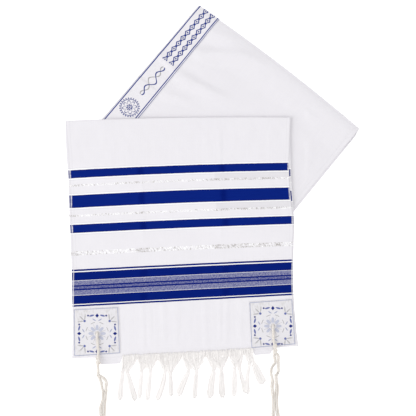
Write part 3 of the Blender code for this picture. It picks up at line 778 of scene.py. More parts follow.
@dataclass(frozen=True)
class StripedFinish(ClothFinish):
    """White cloth with blue satin stripes, a wide blue band and stripes of silver thread.

    Across the cloth, each pressed fold, a middle and a width, darkens the blue with painted
    shade, and each bright run, a middle and a length, is where painted glints on the silver
    are brighter. The blue of the upper stripes stops a little short of both edges, by
    stop_left and stop_right, and that of the band by band_stop.
    """

    width: float = 0.457
    stop_left: float = 0.0022
    stop_right: float = 0.0028
    band_stop: float = 0.001
    solids: tuple[Band, ...] = (
        Band(0.3621, 0.3781),
        Band(0.3022, 0.3274),
        Band(0.252, 0.2685),
        Band(0.1566, 0.173),
        Band(0.1094, 0.1264),
    )
    lines: tuple[Stripe, ...] = (
        Stripe(0.177, 0.0036),
        Stripe(0.1456, 0.0029),
        Stripe(0.1382, 0.0029),
        Stripe(0.106, 0.0035),
    )
    silvers: tuple[Stripe, ...] = (
        Stripe(0.3469, 0.0042),
        Stripe(0.2861, 0.0042),
        Stripe(0.211, 0.0085),
    )
    mixed_band: Band = Band(0.126, 0.1568)
    between_lines: Band = Band(0.1383, 0.1457)
    band_top: float = 0.21
    # the bands, and the share across from which, where painted shade darkens the cloth below the upper
    # stripes
    painted_shade_bands: tuple[Band, Band] = (Band(0.347, 0.36), Band(0.286, 0.3))
    painted_shade_from: float = 0.302
    # how strongly painted shade darkens the cloth along both edges, where the upper layer's raised edge
    # shades it
    turned: float = 0.24
    selvedge: float = 0.0064
    painted_crease_shades: tuple[Point, ...] = ((0.1475, 0.012), (0.3185, 0.011))
    # runs across the cloth, each a middle and a length, where painted glints on the silver are brighter
    glint_runs: tuple[Point, ...] = ((0.074, 0.118), (0.225, 0.138), (0.455, 0.04))
    cord_middle: float = -0.0015
    cord_width: float = 0.0022

    def pattern(self, shade: Shade, u: Value, v: Value, colour: Any, height: Value) -> Look:
        """The stripes, from each point's depth inside the nearest one.

        Args:
            shade: The material.
            u: Distance across the cloth.
            v: Distance above the hem.
            colour: The bare cloth's colour.
            height: Its height.

        Returns:
            Colour, roughness and height.
        """
        ragged = (shade.noise(u * 260.0, v * 12.0, 21.0, 3.0) - 0.5) * 0.0008
        drift = (shade.noise(u * 14.0, 0.0, 4.0) - 0.5) * 0.001
        at = v + ragged + drift
        depth = greatest(solid.inside(at) for solid in self.solids)
        line = greatest(line.inside(at) for line in self.lines)
        upper = v.step(self.band_top, 0.06)
        stop = self._stop(u, upper)
        in_band = self.mixed_band.inside(at).step(0.0, 0.0004) * stop
        grain = shade.noise(u * 420.0, v * 1500.0, 2.0, 3.0)
        coarse = shade.noise(u * 240.0, v * 330.0, 5.0, 2.0)
        cord = (depth - self.cord_middle).within(self.cord_width, 0.0006) * (1.0 - in_band)
        colour = shade.coated(
            colour,
            (in_band, self._denim(shade, at, grain, coarse)),
            (cord, Dye.BRIGHT),
            *self._trims(shade, u, v, depth, in_band, grain),
            *self._shades(u, at),
        )
        colour, silver = self._silver(shade, u, v, at, colour)
        loose = (coarse * 2.6 - 0.6).clamped() * 0.75 * (self.width - u).least(u).step(0.0006, 0.0006)
        blue = depth.step(0.0, 0.0004).most(line.step(0.0, 0.0004)) * mixed(loose, 1.0, stop)
        colour = shade.blend(blue, colour, self._satin(shade, u, v, depth, upper))
        roughness = self.roughness - blue * 0.22 - silver * 0.4
        return colour, roughness, height + cord * 3.0 + blue * 1.0 + silver * 1.5

    def _stop(self, u: Value, upper: Value) -> Value:
        """Where the blue is, between the places near both edges where it stops.

        Args:
            u: Distance across the cloth.
            upper: 1 above the band, and 0 in it.

        Returns:
            1 on the blue, and 0 beside it.
        """
        stops = (self.stop_left, self.stop_right)
        left, right = (upper * (stop - self.band_stop) + self.band_stop for stop in stops)
        return (u - left).step(0.0, 0.0007) * (self.width - right - u).step(0.0, 0.0008)

    def _denim(self, shade: Shade, at: Value, grain: Value, coarse: Value) -> Any:
        """The band's mixed blue and white threads, a little bluer between its two lines."""
        share = grain * 1.2 + coarse * 0.6 - 0.15 + self.between_lines.inside(at).step(0.0, 0.0006) * 0.09
        return shade.blend(share.clamped(), scaled(self.white, 0.95), Dye.BLUE)

    def _trims(self, shade: Shade, u: Value, v: Value, depth: Value, in_band: Value,
               grain: Value) -> list[tuple[Value, Dye]]:
        """Coats for the stripes' edges: a faint line, white dots in the band and gold glints.

        Args:
            shade: The material.
            u: Distance across the cloth.
            v: Distance above the hem.
            depth: How far inside the nearest stripe.
            in_band: 1 in the band.
            grain: Noise along the threads.

        Returns:
            Each coat's share and its dye.
        """
        glint = shade.noise(u * 60.0, v * 200.0, 9.0, 1.0).step(0.66, 0.06)
        return [
            ((depth + 0.0034).within(0.0008, 0.0006) * (1.0 - in_band) * 0.16, Dye.SOFT_BLUE),
            ((depth + 0.0004).within(0.0012, 0.0004) * in_band * (grain * 2.5 - 0.65).clamped(), Dye.BRIGHT),
            ((depth + 0.0002).within(0.0008, 0.0004) * glint * 0.7, Dye.GOLD),
        ]

    def _shades(self, u: Value, at: Value) -> list[tuple[Value, Colour]]:
        """Coats of painted shade: below the upper stripes on the right, and along both edges of the cloth.

        Args:
            u: Distance across the cloth.
            at: Distance above the hem, drifting with the stripes.

        Returns:
            Each coat's share and its colour.
        """
        # painted shade: the cloth darkens in bands just below the upper stripes, on the right
        painted_shade = greatest(band.inside(at) for band in self.painted_shade_bands).step(0.0, 0.0016)
        # painted shade along both edges, where the upper layer's raised edge shades the cloth, and a faint
        # darker line at the selvedge
        edge = u.least(self.width - u)
        turned = (edge - 0.0004).within(0.001, 0.0004) * self.turned
        turned = turned + (edge - self.selvedge).within(0.001, 0.0006) * 0.1
        return [(painted_shade * u.step(self.painted_shade_from, 0.004) * 0.5, scaled(self.white, 0.84)),
                (turned, scaled(self.white, 0.5))]

    def _satin(self, shade: Shade, u: Value, v: Value, depth: Value, upper: Value) -> Any:
        """The blue of the stripes: streaked, darker at their rims and in the band, with painted shade at
        pressed folds.

        Args:
            shade: The material.
            u: Distance across the cloth.
            v: Distance above the hem.
            depth: How far inside the nearest stripe.
            upper: 1 above the band, and 0 in it.

        Returns:
            The colour.
        """
        streaks = shade.noise(u * 30.0, v * 1400.0, 13.0, 3.0)
        rim = (depth - 0.001).within(0.0018, 0.001)
        # painted shade: the blue darkens where pressed folds would shade it
        crease_shade = greatest((u - middle).within(width, 0.008) for middle, width in self.painted_crease_shades)
        tone = streaks * 1.5 - 0.1 - rim * 0.5 - crease_shade * 0.55 - (1.0 - upper) * 0.35
        return shade.blend(tone.clamped(), Dye.DEEP_BLUE, Dye.BLUE)

    def _silver(self, shade: Shade, u: Value, v: Value, at: Value, colour: Any) -> tuple[Any, Value]:
        """Metal thread in short dashes, with its reflection painted: bright glints in some stretches and
        grey in others.

        Args:
            shade: The material.
            u: Distance across the cloth.
            v: Distance above the hem.
            at: The same, drifting with the stripes.
            colour: The colour under the thread.

        Returns:
            The colour, and where the thread shows.
        """
        silver = greatest(stripe.inside(at) for stripe in self.silvers).step(0.0, 0.0006)
        dash = shade.noise(u * 400.0 + v * 200.0, v * 240.0, 17.0, 2.0).step(0.51, 0.14)
        # painted glints: brighter in the runs and where the noise rises, standing in for the thread's
        # reflection
        lit = greatest((u - middle).within(length, 0.01) for middle, length in self.glint_runs)
        mixture = shade.noise(u * 330.0 + v * 150.0, v * 200.0, 19.0, 1.0)
        mixture = mixture + shade.noise(u * 70.0, v * 30.0, 5.0) * 0.5
        bright = (lit * 0.13 + mixture).step(0.8, 0.17)
        painted_reflection = shade.blend(bright, Dye.PAINTED_DULL_REFLECTION, Dye.PAINTED_GLINT)
        colour = shade.blend(silver * 0.16 * (1.0 - bright), colour, Dye.SILVER)
        return shade.blend(silver * dash * 0.78, colour, painted_reflection), silver * dash


class Edging(NamedTuple):
    """A line along the collar band: its distance from the neck edge, its slant and its width."""

    start: float
    slant: float
    width: float

    def mask(self, u: Value, v: Value) -> Value:
        """1 on the line, and 0 beside it."""
        return (u - self.start - v * self.slant).within(self.width, 0.0004)


@dataclass(frozen=True)
class CollarFinish(ClothFinish):
    """The collar band's cloth: blue border lines and woven ornament in blue and silver.

    u is the distance from the neck edge and v the distance from the middle fold.
    """

    outer_line: Edging = Edging(0.0031, 0.0045, 0.0022)
    inner_line: Edging = Edging(0.0466, 0.0155, 0.0021)
    thin_line: Edging = Edging(0.0496, 0.0185, 0.0014)
    # where a thin line of painted shade runs, near the neck edge
    edge_shade_line: float = 0.0016
    chains: Point = (0.0185, 0.0345)
    chain_end: float = 0.129
    chain_period: float = 0.0142
    chain_height: float = 0.0047
    twist_middle: Point = (0.0275, 0.178)
    twist_step: float = 0.0105
    rosette_middle: Point = (0.027, 0.249)
    rosette_reach: float = 0.0165

    def pattern(self, shade: Shade, u: Value, v: Value, colour: Any, height: Value) -> Look:
        """Border lines, two chains of lozenges, a twisted ribbon, a rosette and a thin line of painted shade
        near the neck edge.

        Args:
            shade: The material.
            u: Distance from the neck edge.
            v: Distance from the middle fold.
            colour: The bare cloth's colour.
            height: Its height.

        Returns:
            Colour, roughness and height.
        """
        thread = (shade.noise(u * 900.0, v * 900.0, 1.0, 1.0) * 2.4 - 0.2).clamped()
        outer, inner, thin = (line.mask(u, v) for line in (self.outer_line, self.inner_line, self.thin_line))
        # painted shade: a thin grey line near the neck edge, where the band's edge is shaded
        rim = (u - self.edge_shade_line).within(0.0014, 0.0005)
        ribbon, silver = self._twist(u, v)
        blue = greatest((outer, inner, self._chains(u, v), ribbon, self._rosette(u, v)))
        colour = shade.coated(
            colour,
            (silver * (0.55 + thread * 0.4), Dye.PEWTER),
            (thin * 0.9, Dye.THIN_BLUE),
            (rim * (0.2 + thread * 0.25), Dye.PAINTED_EDGE_SHADE),
            (blue * (0.8 + thread * 0.2), shade.blend(thread, Dye.DEEP_BLUE, Dye.COLLAR_BLUE)),
        )
        raised = blue.most(silver)
        return colour, self.roughness - raised * 0.2, height + raised * 2.2 + thin * 1.2

    def _chains(self, u: Value, v: Value) -> Value:
        """Two rows of linked lozenges.

        In a row two zigzags cross. Each one's distance from the row's middle is the row's
        height times how far v is through its period. A solid lozenge fills each link.

        Args:
            u: Distance from the neck edge.
            v: Distance from the middle fold.

        Returns:
            1 on the rows, and 0 beside them.
        """
        phase = abs(v.folded(self.chain_period))
        sway = phase / (self.chain_period / 2)
        tie = (phase / self.chain_period).step(0.44, 0.02)
        marks = []
        for middle in self.chains:
            off = abs(u - middle)
            marks += [(off - (1.0 - sway) * self.chain_height).within(0.0024, 0.0004),
                      (phase + off * 1.1).within(0.0042, 0.0005), tie * off.within(0.005, 0.0005)]
        return greatest(marks) * (1.0 - v.step(self.chain_end, 0.0006))

    def _twist(self, u: Value, v: Value) -> tuple[Value, Value]:
        """Two strands that cross: each sways by the cosine of a phase, and less towards its ends.

        Args:
            u: Distance from the neck edge.
            v: Distance from the middle fold.

        Returns:
            1 on each strand: the blue one, and the silver one.
        """
        reach = abs((v - self.twist_middle[1]) / self.twist_step)
        phase = (reach ** 1.25) * (math.pi / 2)
        sway = phase.cosine() * (0.0032 + 0.0058 / (1.0 + reach * reach * 1.4))
        shown = 1.0 - reach.step(3.45, 0.1)
        blue = (u - self.twist_middle[0] - sway).within(0.0026, 0.0004) * shown
        silver = (u - self.twist_middle[0] + sway).within(0.0024, 0.0004) * shown
        return blue, silver * (1.0 - blue)

    def _rosette(self, u: Value, v: Value) -> Value:
        """Eight outlined petals with solid hearts, in a ring of dots.

        A petal's edge stands off by the rosette's reach times the root of the cosine of four
        times the angle.

        Args:
            u: Distance from the neck edge.
            v: Distance from the middle fold.

        Returns:
            1 on the rosette, and 0 beside it.
        """
        off_u, off_v = u - self.rosette_middle[0], v - self.rosette_middle[1]
        away, angle = away_from(off_u, off_v), off_v.angle_over(off_u)
        lobe = abs((angle * 4.0).cosine()) ** 0.5
        outline = (away - (lobe * 0.62 + 0.22) * self.rosette_reach).within(0.0017, 0.0004)
        heart = (lobe * 0.45 * self.rosette_reach - away).step(0.0004, 0.0005) * away.step(0.0028, 0.0005)
        ring = (away - self.rosette_reach * 1.02).within(0.0013, 0.0004)
        off_dot = away_from(angle.folded(math.pi / 12) * away, away - self.rosette_reach * 1.16)
        dots, eye = off_dot.within(0.0026, 0.0005), away.within(0.0034, 0.0005)
        return greatest((outline, heart, ring, dots, eye)) * 0.95


@dataclass(frozen=True)
class PatchFinish(ClothFinish):
    """A corner patch: a pale border and small woven ornament. u and v start at its eyelet."""

    side: float = 0.0365
    corner: float = 0.0315
    rosette: float = 0.0178

    def pattern(self, shade: Shade, u: Value, v: Value, colour: Any, height: Value) -> Look:
        """A border line, side lozenges between leaves, corner fans and a centre flower.

        Args:
            shade: The material.
            u: Distance to the right of the eyelet.
            v: Distance above it.
            colour: The bare cloth's colour.
            height: Its height.

        Returns:
            Colour, roughness and height.
        """
        thread = (shade.noise(u * 1000.0, v * 1000.0, 1.0, 1.0) * 2.4 - 0.2).clamped()
        border = (shade.tone("edge") - 0.0017).within(0.0012, 0.0006)
        satin = (shade.noise(u * 330.0, v * 120.0, 4.0, 3.0) - 0.46).clamped() * 5.0
        satin = (satin * (u * u + v * v).step(0.0016, 0.0016) * 0.9).clamped()
        far, near = abs(u).most(abs(v)), abs(u).least(abs(v))
        lozenge = (abs(far - self.side) * 0.85 + near).within(0.0074, 0.0006)
        small = (abs(far - self.side) + abs(near - 0.0185)).within(0.0046, 0.0006)
        outer = self._leaf(far - self.side, near - 0.011, 0.22, 0.36, 0.0036)
        inner = self._leaf(far - self.side + 0.0085, near - 0.006, -0.55, 0.4, 0.0028)
        fan, bud = self._fan(far, near)
        flower, spikes = self._flower(u, v)
        colour = shade.coated(
            colour,
            (satin * 0.45, Dye.SILVER),
            (flower * (0.35 + thread * 0.6), Dye.PALE_BLUE),
            (spikes * (0.4 + thread * 0.6), Dye.PEWTER),
            (fan * (0.45 + thread * 0.5), Dye.PEWTER),
            (inner * (0.3 + thread * 0.5), Dye.SOFT_BLUE),
            (outer.most(bud) * 0.9, Dye.MID_BLUE),
            (border * (0.55 + thread * 0.35), Dye.SOFT_BLUE),
            (lozenge.most(small), Dye.PATCH_BLUE),
        )
        raised = greatest((lozenge, small, outer, fan * 0.8, flower * 0.5, border))
        return colour, self.roughness - raised * 0.15, height + raised * 2.0

    def _leaf(self, off_far: Value, off_near: Value, lean: float, slim: float, width: float) -> Value:
        """A leaf along a side: an oval whose long axis leans, from the root of two squares."""
        return away_from(off_far + off_near * lean, off_near * slim).within(width, 0.0006)

    def _fan(self, far: Value, near: Value) -> tuple[Value, Value]:
        """Leaves that spread from a bud in each corner: petals of a polar curve, and the bud.

        Args:
            far: The greater of the distances across and along from the eyelet.
            near: The lesser of them.

        Returns:
            Where the leaves are, and where the bud is.
        """
        off_far, off_near = far - self.corner + 0.006, near - self.corner + 0.006
        away, angle = away_from(off_far, off_near), off_near.angle_over(off_far) - math.pi / 4
        lobe = (angle * 7.0).cosine().most(0.0) * abs(angle).within(2.2, 0.1)
        fan = (lobe * 0.015 - away).step(0.0, 0.0007) * away.step(0.003, 0.0006)
        vein = (lobe - 0.93).step(0.0, 0.03) * away.step(0.005, 0.001) * 0.5
        return fan * (1.0 - vein), away.within(0.005, 0.0006)

    def _flower(self, u: Value, v: Value) -> tuple[Value, Value]:
        """Eight round petals about the eyelet, with thin leaves between them and a broken ring.

        Args:
            u: Distance to the right of the eyelet.
            v: Distance above it.

        Returns:
            Where the petals are, and where the leaves and the ring are.
        """
        away, turn = away_from(u, v), abs((v.angle_over(u) * 4.0).cosine())
        flower = (turn ** 0.6 * self.rosette - away).step(0.0, 0.0009) * away.step(0.007, 0.0006)
        spike = ((1.0 - turn) ** 5.0 * self.rosette * 1.25 - away).step(0.0, 0.0009)
        spike = spike * away.step(0.0085, 0.0006)
        ring = (away - self.rosette * 1.3).within(0.0012, 0.0006) * (1.0 - turn).step(0.3, 0.1)
        return flower, spike.most(ring)


@dataclass(frozen=True)
class YarnFinish:
    """Spun yarn: a twist drawn by slanting lines, with a shade of its own for each yarn."""

    name: str
    light: Colour
    dark: Colour
    twist: float = 0.0022
    relief: float = 0.00012
    # an emission of painted light, which lifts the yarn's shade
    glow: float = 0.0

    def build(self) -> bpy.types.Material:
        """Plied yarn, whose height is a sine of the way round plus the way along over a twist.

        Returns:
            The material.
        """
        shade = Shade(self.name)
        around, along = shade.uv()
        x, y, z = shade.place()
        fibres = shade.noise(x * 1400.0, y * 700.0, z * 1400.0, 3.0)
        broad = shade.noise(x * 90.0, y * 90.0, z * 90.0, 1.0)
        ply = ((around + along / self.twist) * (2 * math.pi)).sine()
        share = (shade.tone() * 0.7 + fibres * 0.5 + broad * 0.4 + ply * 0.08 - 0.35).clamped()
        colour = shade.blend(share, self.dark, self.light)
        height = ply * 0.6 + fibres * 1.2
        # the emission is painted light: the glow brightens the yarn and its shade
        shade.dress(colour, 0.85, height, self.relief, Specular_IOR_Level=0.05, Emission_Color=self.light,
                    Emission_Strength=self.glow)
        return shade.material


@dataclass(frozen=True)
class TableFinish:
    """A bright, faintly uneven table top."""

    name: str = "table"
    colour: Colour = (0.9, 0.9, 0.9)
    glow: float = 0.36

    def build(self) -> bpy.types.Material:
        """A plain surface, lit a little from within like a light table.

        Returns:
            The material.
        """
        shade = Shade(self.name)
        x, y, _ = shade.place()
        grain = shade.noise(x * 300.0, y * 300.0)
        colour = shade.blend(grain, scaled(self.colour, 0.99), self.colour)
        shade.dress(colour, 0.9, grain, 0.00002, Specular_IOR_Level=0.1, Emission_Color=(1.0, 1.0, 1.0),
                    Emission_Strength=self.glow)
        return shade.material


# The shawl's lie on the table


class Settle(NamedTuple):
    """How cloth comes down past an edge: how far it stays up, and over what length it drops."""

    held: float
    down: float

    def share(self, distance: Array) -> Array:
        """1 while it is held up, and then smoothly down to 0."""
        return 1.0 - smooth((distance - self.held) / self.down)


@dataclass(frozen=True)
class Stack:
    """Heights of the folded layers over the table, as the solids have them."""

    wall: float = 0.001
    hem_wall: float = 0.0013
    seam_gap: float = 0.0003
    sheet_gap: float = 0.0004
    stack_gap: float = 0.0005
    over_table: float = 0.00015
    core: float = 0.0023
    past_back: Settle = Settle(0.01, 0.09)
    past_band: Settle = Settle(0.015, 0.06)
    past_hidden_fold: Settle = Settle(0.028, 0.06)
    neck_corner: Point = (-0.0275, 0.4839)
    far_corner: Point = (0.2989, 0.2336)
    neck_end: Point = (-0.2742, 0.1954)
    far_end: Point = (0.1438, 0.0437)
    band: float = 0.052

    def back_support(self, x: Array, y: Array) -> Array:
        """Top of the back stretch and its band, drawn out past their edges as cloth bridges them.

        Args:
            x: Where it is read, across.
            y: Where it is read, upwards.

        Returns:
            Its height over the table.
        """
        neck_out = beyond(x, y, self.neck_corner, self.neck_end)
        far_out = -beyond(x, y, self.far_corner, self.far_end)
        plain = (2 * self.wall + self.sheet_gap) * self.past_back.share(np.maximum(neck_out, far_out))
        on_band = self.past_band.share(np.maximum(neck_out, -neck_out - self.band))
        return plain + (self.seam_gap + self.wall) * on_band

    def under_base(self, x: Array, y: Array) -> Array:
        """Underside of the front stretch's lower layer, which comes down past the hidden fold."""
        held = self.past_hidden_fold.share(beyond(x, y, self.neck_end, self.far_end))
        return (self.back_support(x, y) + self.core + 2 * self.stack_gap) * held

    def front_base(self, x: Array, y: Array) -> Array:
        """Underside of the front stretch's upper layer."""
        return self.under_base(x, y) + self.wall + self.sheet_gap


class Finish(Enum):
    """The shawl's finishes."""

    CLOTH = ClothFinish("white_cloth")
    STRIPED = StripedFinish("striped_cloth")
    UNDER_STRIPED = StripedFinish("striped_cloth_below", stop_left=0.0012, stop_right=0.0012, turned=0.0)
    COLLAR = CollarFinish("collar_cloth", streak=0.02)
    PATCH = PatchFinish("patch_satin", white=(0.735, 0.722, 0.752), warp=0.0005, streak=0.03, roughness=0.6)
    # the fringe yarn's glow is painted light: an emission that lifts the shade between its threads
    FRINGE = YarnFinish("fringe_yarn", (0.888, 0.868, 0.86), (0.782, 0.76, 0.75), glow=0.1)
    TASSEL = YarnFinish("tassel_yarn", (0.885, 0.855, 0.822), (0.72, 0.675, 0.625), 0.0016)
    THREAD = YarnFinish("sewing_thread", (0.84, 0.835, 0.85), (0.7, 0.69, 0.71), 0.001)


class Workshop:
    """Places finished pieces, and keeps one material of each finish."""

    def __init__(self) -> None:
        """Makes every finish."""
        self.materials = {finish: finish.value.build() for finish in Finish}

    def place(self, name: str, shape: Any, finish: Finish, slot: str,
              node: Optional[str] = None) -> bpy.types.Object:
        """Links a piece, makes it ride, and has it stand for its solid.

        Args:
            name: The piece's name.
            shape: Its mesh, or the sheet or skein that makes it, with its place in it.
            finish: Its finish.
            slot: The record's slot that the finish is of; not used.
            node: The solid that it replaces.

        Returns:
            The piece.
        """
        mesh = shape if isinstance(shape, bpy.types.Mesh) else shape.mesh(name)
        mesh.materials.append(self.materials[finish])
        piece = bpy.data.objects.new(name, mesh)
        bpy.context.scene.collection.objects.link(piece)
        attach(piece, BODY)
        if node:
            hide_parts(node)
        LOG.info("%s: %d faces", name, len(mesh.polygons))
        return piece


class Section(NamedTuple):
    """A line across the front stretch, at a height above the hem along the cloth.

    The peeks are how far the lower layer shows past the upper one's edges.
    """

    along: float
    left: Point
    right: Point
    bow: float
    peek_left: float
    peek_right: float


@dataclass
class FrontStretch:
    """The striped end of the shawl: two layers, the upper one turned over at its top fold."""

    stack: Stack
    width: float = 0.457
    wall: float = 0.0008
    hem_wall: float = 0.0011
    hem: float = 0.0075
    columns: int = 216
    rows: int = 180
    under_columns: int = 112
    under_rows: int = 112
    lip: float = 0.004
    selvedge: float = 0.003
    wall_step: float = 0.0012
    low_hem: float = 0.0118
    low_hem_slant: float = 0.0034
    low_hem_rise: float = 0.06
    low_hem_spans: tuple[Point, ...] = ((0.122, 0.2145), (0.808, 0.885))
    low_hem_turn: float = 0.004
    stripe_drop: float = 0.014
    drop_from: float = 0.2678
    drop_over: float = 0.11
    upper_seam: float = 0.0058
    lower_seams: Point = (0.0024, 0.0066)
    stitch: Stitch = Stitch(0.0024, 0.001, 0.00022, 0.0002)
    sections: tuple[Section, ...] = (
        Section(0.0, (-0.2856, -0.235), (0.1744, -0.2097), -0.0022, -0.001, -0.001),
        Section(0.1064, (-0.2838, -0.1279), (0.1626, -0.104), 0.0, 0.0024, 0.0022),
        Section(0.1767, (-0.2834, -0.0563), (0.162, -0.0351), 0.0007, 0.0037, 0.0022),
        Section(0.2678, (-0.2871, 0.0361), (0.1626, 0.0547), 0.0015, 0.004, 0.0024),
        Section(0.327, (-0.2888, 0.0963), (0.1565, 0.1128), 0.0024, 0.004, 0.0043),
        Section(0.3779, (-0.2905, 0.1477), (0.1549, 0.1632), 0.0024, 0.0038, 0.0036),
        Section(0.4274, (-0.2936, 0.1999), (0.156, 0.2101), 0.0028, 0.004, 0.0014),
        Section(0.4751, (-0.2978, 0.2489), (0.1575, 0.2564), 0.003, 0.001, 0.001),
    )
    creases: tuple[Crease, ...] = (
        Crease((0.0163, 0.232), (0.017, 0.15), 0.0006, 0.0022, 0.007),
        Crease((0.0172, 0.165), (0.018, -0.012), 0.00054, 0.0022, 0.007),
        Crease((-0.143, 0.15), (-0.1405, -0.015), 0.00048, 0.0022, 0.005),
        Crease((0.116, 0.25), (0.1145, 0.03), 0.0003, 0.012, 0.0034),
        Crease((-0.0118, 0.25), (-0.0115, 0.195), 0.0002, 0.0035, 0.005),
        Crease((-0.215, 0.255), (-0.21, 0.15), 0.00068, 0.02, 0.015),
        Crease((-0.143, -0.118), (-0.14, -0.225), 0.00068, 0.0045, 0.006),
        Crease((-0.127, -0.13), (-0.1255, -0.215), 0.00052, 0.0035, 0.005),
        Crease((-0.101, -0.118), (-0.099, -0.205), 0.00051, 0.006, 0.005),
        Crease((-0.07, -0.115), (-0.074, -0.215), 0.00063, 0.005, 0.007),
        Crease((-0.016, -0.112), (-0.015, -0.215), 0.00051, 0.006, 0.005),
        Crease((0.015, -0.11), (0.016, -0.21), 0.00078, 0.004, 0.005),
        Crease((0.03, -0.11), (0.0285, -0.21), 0.00069, 0.0045, 0.006),
        Crease((0.056, -0.112), (0.057, -0.205), 0.00045, 0.005, 0.006),
        Crease((-0.24, 0.01), (0.15, 0.026), 0.0006, 0.006, 0.014),
        Crease((0.02, 0.14), (0.16, 0.146), 0.00068, 0.005, 0.006),
        Crease((0.02, 0.082), (0.16, 0.088), 0.00068, 0.005, 0.006),
    )

    def plan(self, u: Array, v: Array, peek: float = 0.0) -> tuple[Array, Array]:
        """Where a point of the cloth lies, from smooth curves through the sections.

        Args:
            u: Share of the way from the left edge to the right one.
            v: Height above the hem, along the cloth.
            peek: 1 for the lower layer, which shows past the upper one's edges.

        Returns:
            x and y.
        """
        knots, *columns = zip(*self.sections)
        left, right, bow, peek_left, peek_right = (through(knots, column, v) for column in columns)
        wave = rippled(v, 0.0 * v, 0.0003, 0.045, 31 + int(peek))
        start = left[..., 0] - peek * peek_left + wave
        end = right[..., 0] + peek * peek_right + wave * 0.8
        return mixed(start, end, u), mixed(left[..., 1], right[..., 1], u) + bow * 4 * u * (1 - u)

    def bend(self, u: Array) -> tuple[Array, ...]:
        """The top fold: a half circle between the upper layer and the back stretch's top.

        Args:
            u: Share of the way across.

        Returns:
            Its middle line's x, y and z, its radius, and the height along the cloth there.
        """
        top = self.sections[-1].along
        x, y = self.plan(u, np.full_like(u, top))
        above = self.stack.front_base(x, y)
        below = self.stack.back_support(x, y) + self.stack.seam_gap + self.stack.hem_wall
        radius = (above - below + self.stack.wall) / 2
        setback = radius + self.stack.wall / 2
        return x, y - setback, (above + below) / 2, radius, top - setback

    def _walls(self, u: Array, v: Array) -> Array:
        """The wall's thickness: thicker in the hem and a little in the selvedges.

        Args:
            u: Share of the way across.
            v: Height above the hem.

        Returns:
            The thickness at each place.
        """
        edge = np.minimum(u, 1 - u) * self.width
        in_hem = 1 - smooth((v - self.hem) / self.wall_step)
        in_selvedge = 0.6 * (1 - smooth((edge - self.selvedge) / self.wall_step))
        return self.wall + (self.hem_wall - self.wall) * np.maximum(in_hem, in_selvedge)

    def unevenness(self, x: Array, y: Array) -> Array:
        """Pressed creases and soft waves of the upper layer."""
        waves = rippled(x, y * 0.35, 0.00012, 0.02, 5) + rippled(x, y, 0.0001, 0.055, 6)
        return creased(x, y, self.creases, 0.06, 0.12, 0.16) + waves

    def upper(self) -> Sheet:
        """The upper layer, from its hem, over the top fold and a little way down behind it.

        Returns:
            A sheet of three parts: the flat cloth, the half circle of the bend, and the lip.
        """
        u_line = np.linspace(0.0, 1.0, self.columns)
        bend_x, bend_y, bend_z, radius, bend_v = self.bend(u_line)
        u, share = np.meshgrid(u_line, denser(0.018, 8, self.rows))
        v = share * bend_v[None]
        x, y = self.plan(u, v)
        wall = self._walls(u, v)
        fade = smooth((bend_v[None] - v) / 0.01)
        z = self.stack.front_base(x, y) + self.stack.wall / 2 + self.unevenness(x, y) * fade
        z += (wall - self.wall) / 2 * fade
        angle = np.linspace(0.0, math.pi, 12)[1:, None]
        drop = np.linspace(0.0, self.lip, 4)[1:, None]
        turn = joined(bend_x, bend_y + radius * np.sin(angle), bend_z + radius * np.cos(angle))
        middle = np.concatenate([joined(x, y, z), turn, joined(bend_x, bend_y - drop, bend_z - radius)])
        v_all = np.concatenate([v, bend_v + radius * angle, bend_v + math.pi * radius + drop])
        uv = joined(u_line * self.width, v_all)
        walls = np.concatenate([wall, np.broadcast_to(wall[-1], (len(angle) + len(drop), self.columns))])
        return Sheet(middle, uv, walls)

    def lower(self) -> Sheet:
        """The lower layer, whose hem hangs lower beside each corner tassel.

        Returns:
            Its sheet, with points closer together towards its side edges.
        """
        even = np.linspace(0.0, 1.0, self.under_columns)
        u_line = 0.5 * (0.5 - 0.5 * np.cos(np.linspace(0.0, math.pi, self.under_columns))) + 0.5 * even
        bend_v = self.bend(u_line)[-1]
        u, share = np.meshgrid(u_line, denser(0.04, 16, self.under_rows))
        v = share * bend_v[None]
        x, y = self.plan(u, v, peek=1.0)
        turn = self.low_hem_turn
        hang = sum(smooth((u - a + turn) / turn) * (1 - smooth((u - b) / turn))
                   for a, b in self.low_hem_spans)
        y = y - self._low_drop(u) * hang * (1 - smooth(v / self.low_hem_rise))
        wall = self._walls(u, v)
        rest = rippled(x, y, 0.00006, 0.03, 8) * smooth(np.minimum(u, 1 - u) * self.width / 0.02)
        z = self.stack.under_base(x, y) + self.stack.wall / 2 + rest + (wall - self.wall) / 2
        drop = self.stripe_drop * u * smooth((v - self.drop_from) / self.drop_over)
        return Sheet(joined(x, y, z), joined(u * self.width, v + drop), wall)

    def _low_drop(self, u: Array) -> Array:
        """How much lower the lower layer's hem hangs, at a share of the way across."""
        return mixed(self.low_hem + self.low_hem_slant, self.low_hem, u)

    def seam(self, v: float) -> Array:
        """A line of points across the top of the upper layer, at one height above the hem.

        Args:
            v: The height above the hem.

        Returns:
            The points.
        """
        u = np.linspace(0.004, 0.996, 260)
        x, y = self.plan(u, np.full_like(u, v))
        z = self.stack.front_base(x, y) + self.stack.wall / 2 + self.unevenness(x, y)
        return joined(x, y, z + self.hem_wall / 2)

    def low_seam(self, span: Point, inset: float) -> Array:
        """A line of points along the hem of the lower layer, where it hangs lower.

        Args:
            span: The shares of the width that it runs between.
            inset: How far above the hem it lies.

        Returns:
            The points.
        """
        u = np.linspace(span[0] + self.low_hem_turn, span[1] - self.low_hem_turn, 60)
        x, y = self.plan(u, np.zeros_like(u), peek=1.0)
        y = y - self._low_drop(u) + inset
        z = self.stack.under_base(x, y) + self.stack.wall / 2 + self.hem_wall - self.wall / 2
        return joined(x, y, z)

